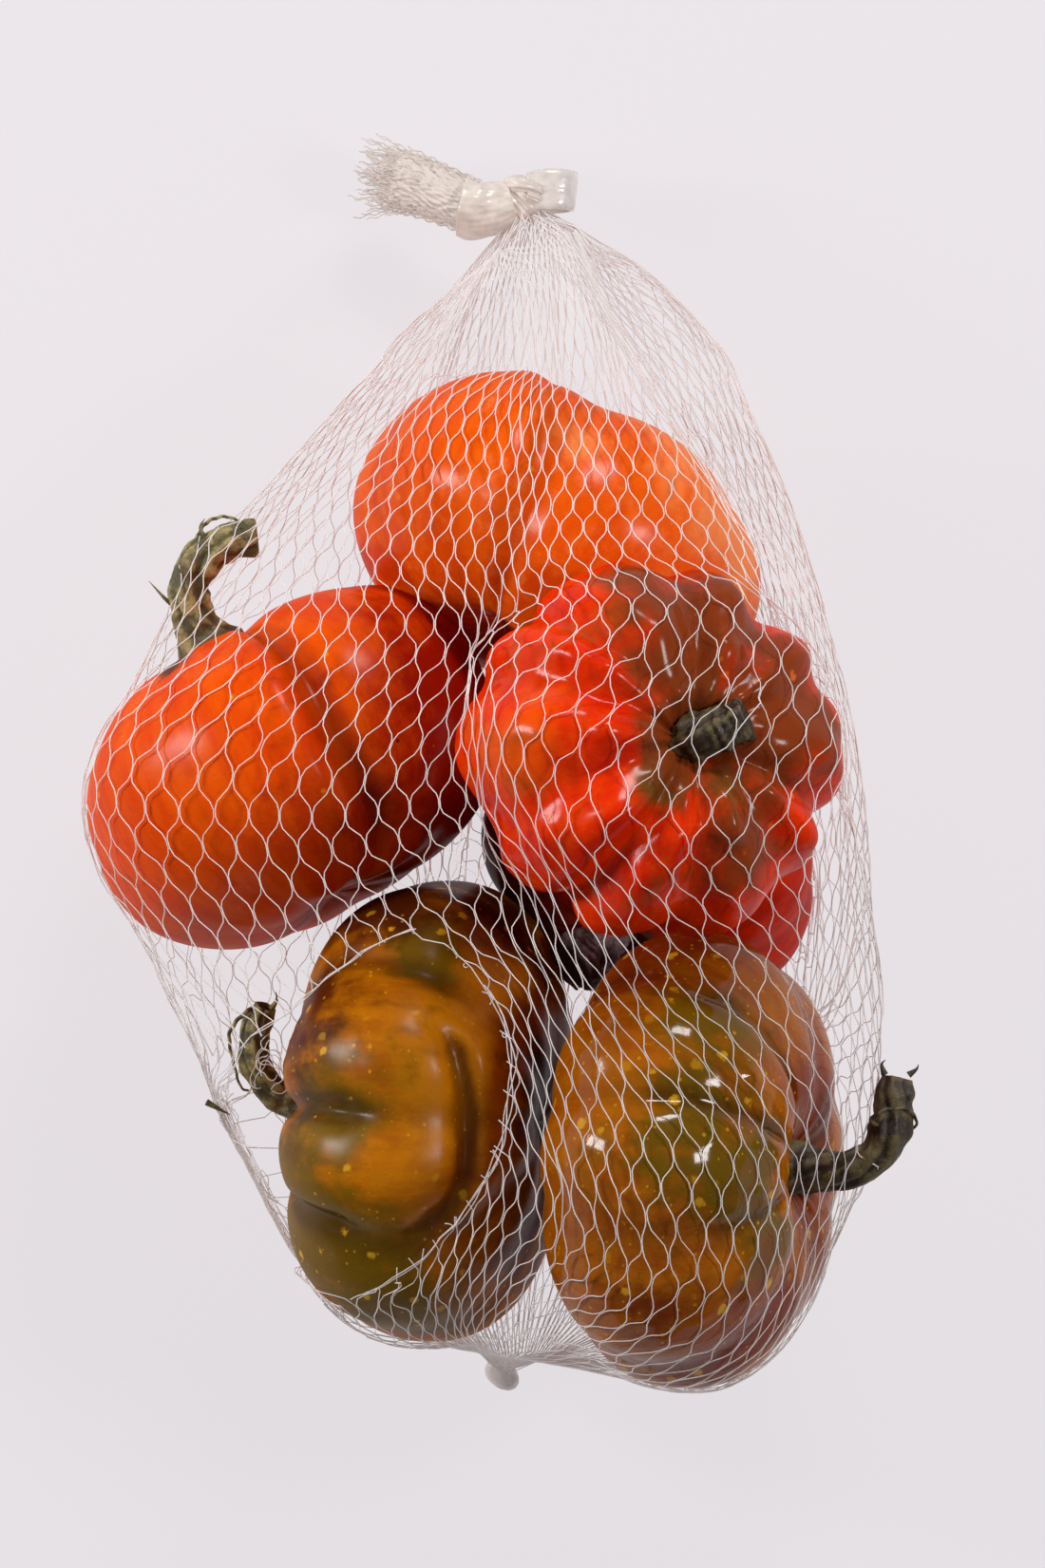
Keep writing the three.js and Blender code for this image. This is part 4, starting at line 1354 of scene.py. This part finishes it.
def melted_end():
    """The blob in which the gathered yarns are melted together."""
    mesh, directions = ball("end", 72, 48)
    lean = math.radians(-40)
    long = np.array((math.cos(lean), math.sin(lean), 0))
    short = np.array((-math.sin(lean), math.cos(lean), 0))
    shape = 1 + ripples(directions, 21, ((2, 0.06), (5, 0.035), (12, 0.015)))
    local = directions * shape[:, None]
    points = (local[:, :1] * 4.2 * long + local[:, 1:2] * 2.9 * short
              + local[:, 2:] * 2.8 * np.array((0, 0, 1)))
    move_vertices(mesh, place(np.array(END_SEAL) + points))
    return mesh


# The glow is painted light: the knot, collar, band and melted end glow though they are no lamp.
FILM_COAT, FILM_PAINTED_GLOW = 0.3, 0.16


def film(name, colour, clearness, roughness):
    """Milky plastic, as the drawn-out band, the pulled collar and the melted end have."""
    p = Paint(name)
    cloudy = p.noise(380, 4, 0.6)
    lines = p.noise(900, 3, 0.6)
    blend = p.mix(p.ramp(cloudy, 0.35, 0.7), tone(*colour), tone(*(0.9 * np.array(colour))))
    height = p.weighted((cloudy, 0.6), (lines, 0.4))
    # The emission is painted light.
    return p.finish(Base_Color=blend, Roughness=p.ramp(lines, 0.3, 0.7, roughness, roughness + 0.2),
                    Transmission_Weight=clearness, IOR=1.45, Coat_Weight=FILM_COAT,
                    Coat_Roughness=0.12, Emission_Color=tone(*colour),
                    Emission_Strength=FILM_PAINTED_GLOW, Normal=p.bump(height, 0.14))


# ---------- Settings ----------


def length(name, description, default, low, high):
    return FloatProperty(name=name, description=description, default=default, min=low, max=high,
                         subtype="DISTANCE", unit="LENGTH", precision=5)


class PumpkinSettings(bpy.types.PropertyGroup):
    detail: IntProperty(
        name="Rings", description="Rings of faces from stem to base of each pumpkin",
        default=104, min=24, max=200,
    )
    gloss: FloatProperty(
        name="Wax", description="How much of a waxy shine lies over the skins",
        default=0.2, min=0, max=1, subtype="FACTOR",
    )
    relief: length("Skin relief", "Height of the fine unevenness of the skins", 0.0005, 0, 0.002)


class NetSettings(bpy.types.PropertyGroup):
    yarn: length("Yarn", "Thickness of one yarn of the net", 0.00023, 0.0001, 0.001)
    strand: length("Strand", "Length of yarn from one knot of the net to the next",
                   0.0064, 0.003, 0.012)
    columns: IntProperty(
        name="Columns", description="Columns of knots round the bag",
        default=84, min=20, max=120,
    )
    colour: FloatVectorProperty(
        name="Colour", description="Colour of the yarn, 0 to 255", size=3,
        default=(230, 223, 221), min=0, max=255,
    )


class TailSettings(bpy.types.PropertyGroup):
    yarns: IntProperty(
        name="Tail yarns", description="Loose yarns in the brush beyond the knot",
        default=300, min=40, max=400,
    )


class StageSettings(bpy.types.PropertyGroup):
    camera_height: length("Camera height", "Height of the camera over the table",
                          CAMERA_HEIGHT * MM, 0.6, 4)
    light: FloatProperty(
        name="Light", description="Strength of the softboxes", default=1.0, min=0, max=4,
    )
    table: FloatVectorProperty(
        name="Table", description="Colour of the table", subtype="COLOR", size=4,
        default=(0.1, 0.097, 0.1, 1), min=0, max=1,
    )


class PumpkinNetSettings(bpy.types.PropertyGroup):
    pumpkins: PointerProperty(type=PumpkinSettings)
    net: PointerProperty(type=NetSettings)
    tail: PointerProperty(type=TailSettings)
    stage: PointerProperty(type=StageSettings)


def settings():
    return bpy.context.scene.pumpkin_net


def fit(piece, nodes, slot):
    """Puts a finished piece in the place of its CAD nodes."""
    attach(piece, "root")
    if nodes:
        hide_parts(*nodes)


# ---------- Operators ----------


class PUMPKINNET_OT_pumpkins(bpy.types.Operator):
    """Model the six pumpkins"""

    bl_idname = "pumpkin_net.pumpkins"
    bl_label = "Pumpkins"

    def execute(self, context):
        wanted = settings().pumpkins
        slots = {"top": "orange_rind", "left": "red_orange_rind", "ribbed": "red_brown_rind",
                 "lower_left": "ochre_rind", "lower_right": "olive_rind", "behind": "red_rind"}
        for name in PUMPKINS:
            detail = wanted.detail + (40 if name == "ribbed" else 0)
            skin = rind(slots[name], RINDS[name], wanted.gloss, wanted.relief)
            piece = link(f"pumpkin_{name}_skin", fruit(name, detail), skin)
            fit(piece, [f"pumpkin_{name}"], slots[name])
        return {"FINISHED"}


class PUMPKINNET_OT_stems(bpy.types.Operator):
    """Model the woody stems with their thorns and tendrils"""

    bl_idname = "pumpkin_net.stems"
    bl_label = "Stems"

    def execute(self, context):
        skins = {slot: stem_skin(slot, *look) for slot, look in STEM_SKINS.items()}
        for name, stem_of in STEMS.items():
            piece = link(f"stem_{name}_wood", stem(name), skins[stem_of["slot"]])
            fit(piece, [f"stem_{name}"], stem_of["slot"])
        return {"FINISHED"}


class PUMPKINNET_OT_net(bpy.types.Operator):
    """Knit the net over the pumpkins, torn open over the lower left one"""

    bl_idname = "pumpkin_net.net"
    bl_label = "Net"

    def execute(self, context):
        wanted = settings().net
        yarns, loose = net_yarns(wanted.columns, wanted.strand / MM)
        width = wanted.yarn / MM
        # The last number is the strength of the net's painted glow.
        skin = yarn_skin("net_yarn", wanted.colour, 0.1, 0.12)
        third = len(yarns) // 3
        groups = {"net_left": yarns[:third], "net_front": yarns[third:2 * third],
                  "net_right": yarns[2 * third:], "net_torn_edge": loose}
        for name, paths in groups.items():
            piece = link(name, strands(name, paths, width), skin)
            fit(piece, ["net"], "net_yarn")
        return {"FINISHED"}


class PUMPKINNET_OT_knot(bpy.types.Operator):
    """Model the knot, its pulled collar and the clear band beside it"""

    bl_idname = "pumpkin_net.knot"
    bl_label = "Knot and band"

    def execute(self, context):
        milky = film("knot_yarn", (208, 196, 187), 0.0, 0.3)
        piece = link("knot_windings", joined("knot", knot_meshes()), milky)
        fit(piece, ["knot"], "knot_yarn")
        clear = film("clear_band", (214, 206, 200), 0.12, 0.14)
        piece = link("band_loop", band_mesh(), clear)
        fit(piece, ["knot_band"], "clear_band")
        return {"FINISHED"}


class PUMPKINNET_OT_tail(bpy.types.Operator):
    """Fan the cut yarns out into a brush beyond the knot"""

    bl_idname = "pumpkin_net.tail"
    bl_label = "Tail"

    def execute(self, context):
        yarns = tail_yarns(settings().tail.yarns)
        width = settings().net.yarn / MM
        # The last number is the strength of the tail's painted glow.
        skin = yarn_skin("tail_yarn", (206, 195, 188), 0.05, 0.2)
        piece = link("tail_brush", joined("tail", [strands("tail", yarns, width), tail_core()]),
                     skin)
        fit(piece, ["tail"], "net_yarn")
        return {"FINISHED"}


class PUMPKINNET_OT_end(bpy.types.Operator):
    """Model the melted end that closes the bottom of the net"""

    bl_idname = "pumpkin_net.end"
    bl_label = "Melted end"

    def execute(self, context):
        skin = film("melted_end", (214, 204, 200), 0.0, 0.25)
        piece = link("end_blob", melted_end(), skin)
        fit(piece, ["end_seal"], "melted_end")
        return {"FINISHED"}


TABLE_GLOW, TABLE_GLOW_STRENGTH = (232, 227, 231), 0.89
ROOM, ROOM_STRENGTH = (236, 234, 240), 0.14
# Name, place, what it faces, size and power of each.
SOFTBOXES = (
    ("softbox_left", (-620, 160, 360), (0, 0, 40), (120, 300), 3.5),
    ("softbox_top", (160, 680, 520), (10, 0, 40), (260, 130), 3.6),
    ("softbox_right", (560, 60, 620), (10, 0, 40), (110, 180), 2.4),
)


def softbox(name, spot, aim, size, watts):
    light = bpy.data.lights.new(name, "AREA")
    light.shape = "RECTANGLE"
    light.size, light.size_y = (value * MM for value in size)
    light.energy = watts
    light.color = (1.0, 0.985, 0.97)
    holder = bpy.data.objects.new(name, light)
    bpy.context.scene.collection.objects.link(holder)
    holder.location = place(spot)
    facing = Vector(place(aim)) - holder.location
    holder.rotation_euler = facing.to_track_quat("-Z", "Y").to_euler()


class PUMPKINNET_OT_stage(bpy.types.Operator):
    """Set the pale table, the softboxes and the camera straight above"""

    bl_idname = "pumpkin_net.stage"
    bl_label = "Stage"

    def execute(self, context):
        wanted = settings().stage
        bm = bmesh.new()
        bmesh.ops.create_grid(bm, x_segments=4, y_segments=4, size=4)
        bmesh.ops.translate(bm, verts=bm.verts, vec=(0, 0, -0.0003))
        p = Paint("table")
        paper = p.ramp(p.noise(900, 3), 0.3, 0.7, 0.8, 0.9)
        table = link("table", as_mesh("table", bm), p.finish(
            Base_Color=tuple(wanted.table), Roughness=paper, Specular_IOR_Level=0.1,
            Emission_Color=tone(*TABLE_GLOW), Emission_Strength=TABLE_GLOW_STRENGTH))
        scene = context.scene
        scene.view_settings.view_transform = "Standard"
        world = bpy.data.worlds.new("pale room")
        world.use_nodes = True
        room = world.node_tree.nodes["Background"]
        room.inputs[0].default_value = tone(*ROOM)
        room.inputs[1].default_value = ROOM_STRENGTH
        scene.world = world
        for *where, watts in SOFTBOXES:
            softbox(*where, watts * wanted.light)
        lens = bpy.data.cameras.new("camera")
        lens.sensor_fit = "VERTICAL"
        lens.sensor_height = 36
        lens.lens = (PIXELS_PER_MM * (wanted.camera_height / MM - MIDDLE_HEIGHT) / PHOTO_HEIGHT
                     * lens.sensor_height)
        lens.clip_end = 20
        camera = bpy.data.objects.new("camera", lens)
        scene.collection.objects.link(camera)
        camera.location = place((*CAMERA_OVER, wanted.camera_height / MM))
        scene.camera = camera
        return {"FINISHED"}


class PUMPKINNET_PT_panel(bpy.types.Panel):
    """Lists the steps in the order in which they are made"""

    bl_label = "Pumpkin net"
    bl_idname = "PUMPKINNET_PT_panel"
    bl_space_type = "VIEW_3D"
    bl_region_type = "UI"
    bl_category = "Pumpkin net"

    def draw(self, context):
        for group in (settings().pumpkins, settings().net, settings().tail, settings().stage):
            box = self.layout.box()
            for key in group.__annotations__:
                box.prop(group, key)
        for step in STEPS:
            self.layout.operator(step.bl_idname)


STEPS = (PUMPKINNET_OT_pumpkins, PUMPKINNET_OT_stems, PUMPKINNET_OT_net, PUMPKINNET_OT_knot,
         PUMPKINNET_OT_tail, PUMPKINNET_OT_end, PUMPKINNET_OT_stage)
CLASSES = (PumpkinSettings, NetSettings, TailSettings, StageSettings, PumpkinNetSettings,
           *STEPS, PUMPKINNET_PT_panel)


def register():
    for kind in CLASSES:
        bpy.utils.register_class(kind)
    bpy.types.Scene.pumpkin_net = PointerProperty(type=PumpkinNetSettings)


def unregister():
    del bpy.types.Scene.pumpkin_net
    for kind in reversed(CLASSES):
        bpy.utils.unregister_class(kind)


def main():
    register()
    bpy.ops.pumpkin_net.pumpkins()
    bpy.ops.pumpkin_net.stems()
    bpy.ops.pumpkin_net.net()
    bpy.ops.pumpkin_net.knot()
    bpy.ops.pumpkin_net.tail()
    bpy.ops.pumpkin_net.end()
    bpy.ops.pumpkin_net.stage()


if __name__ == "__main__":
    main()
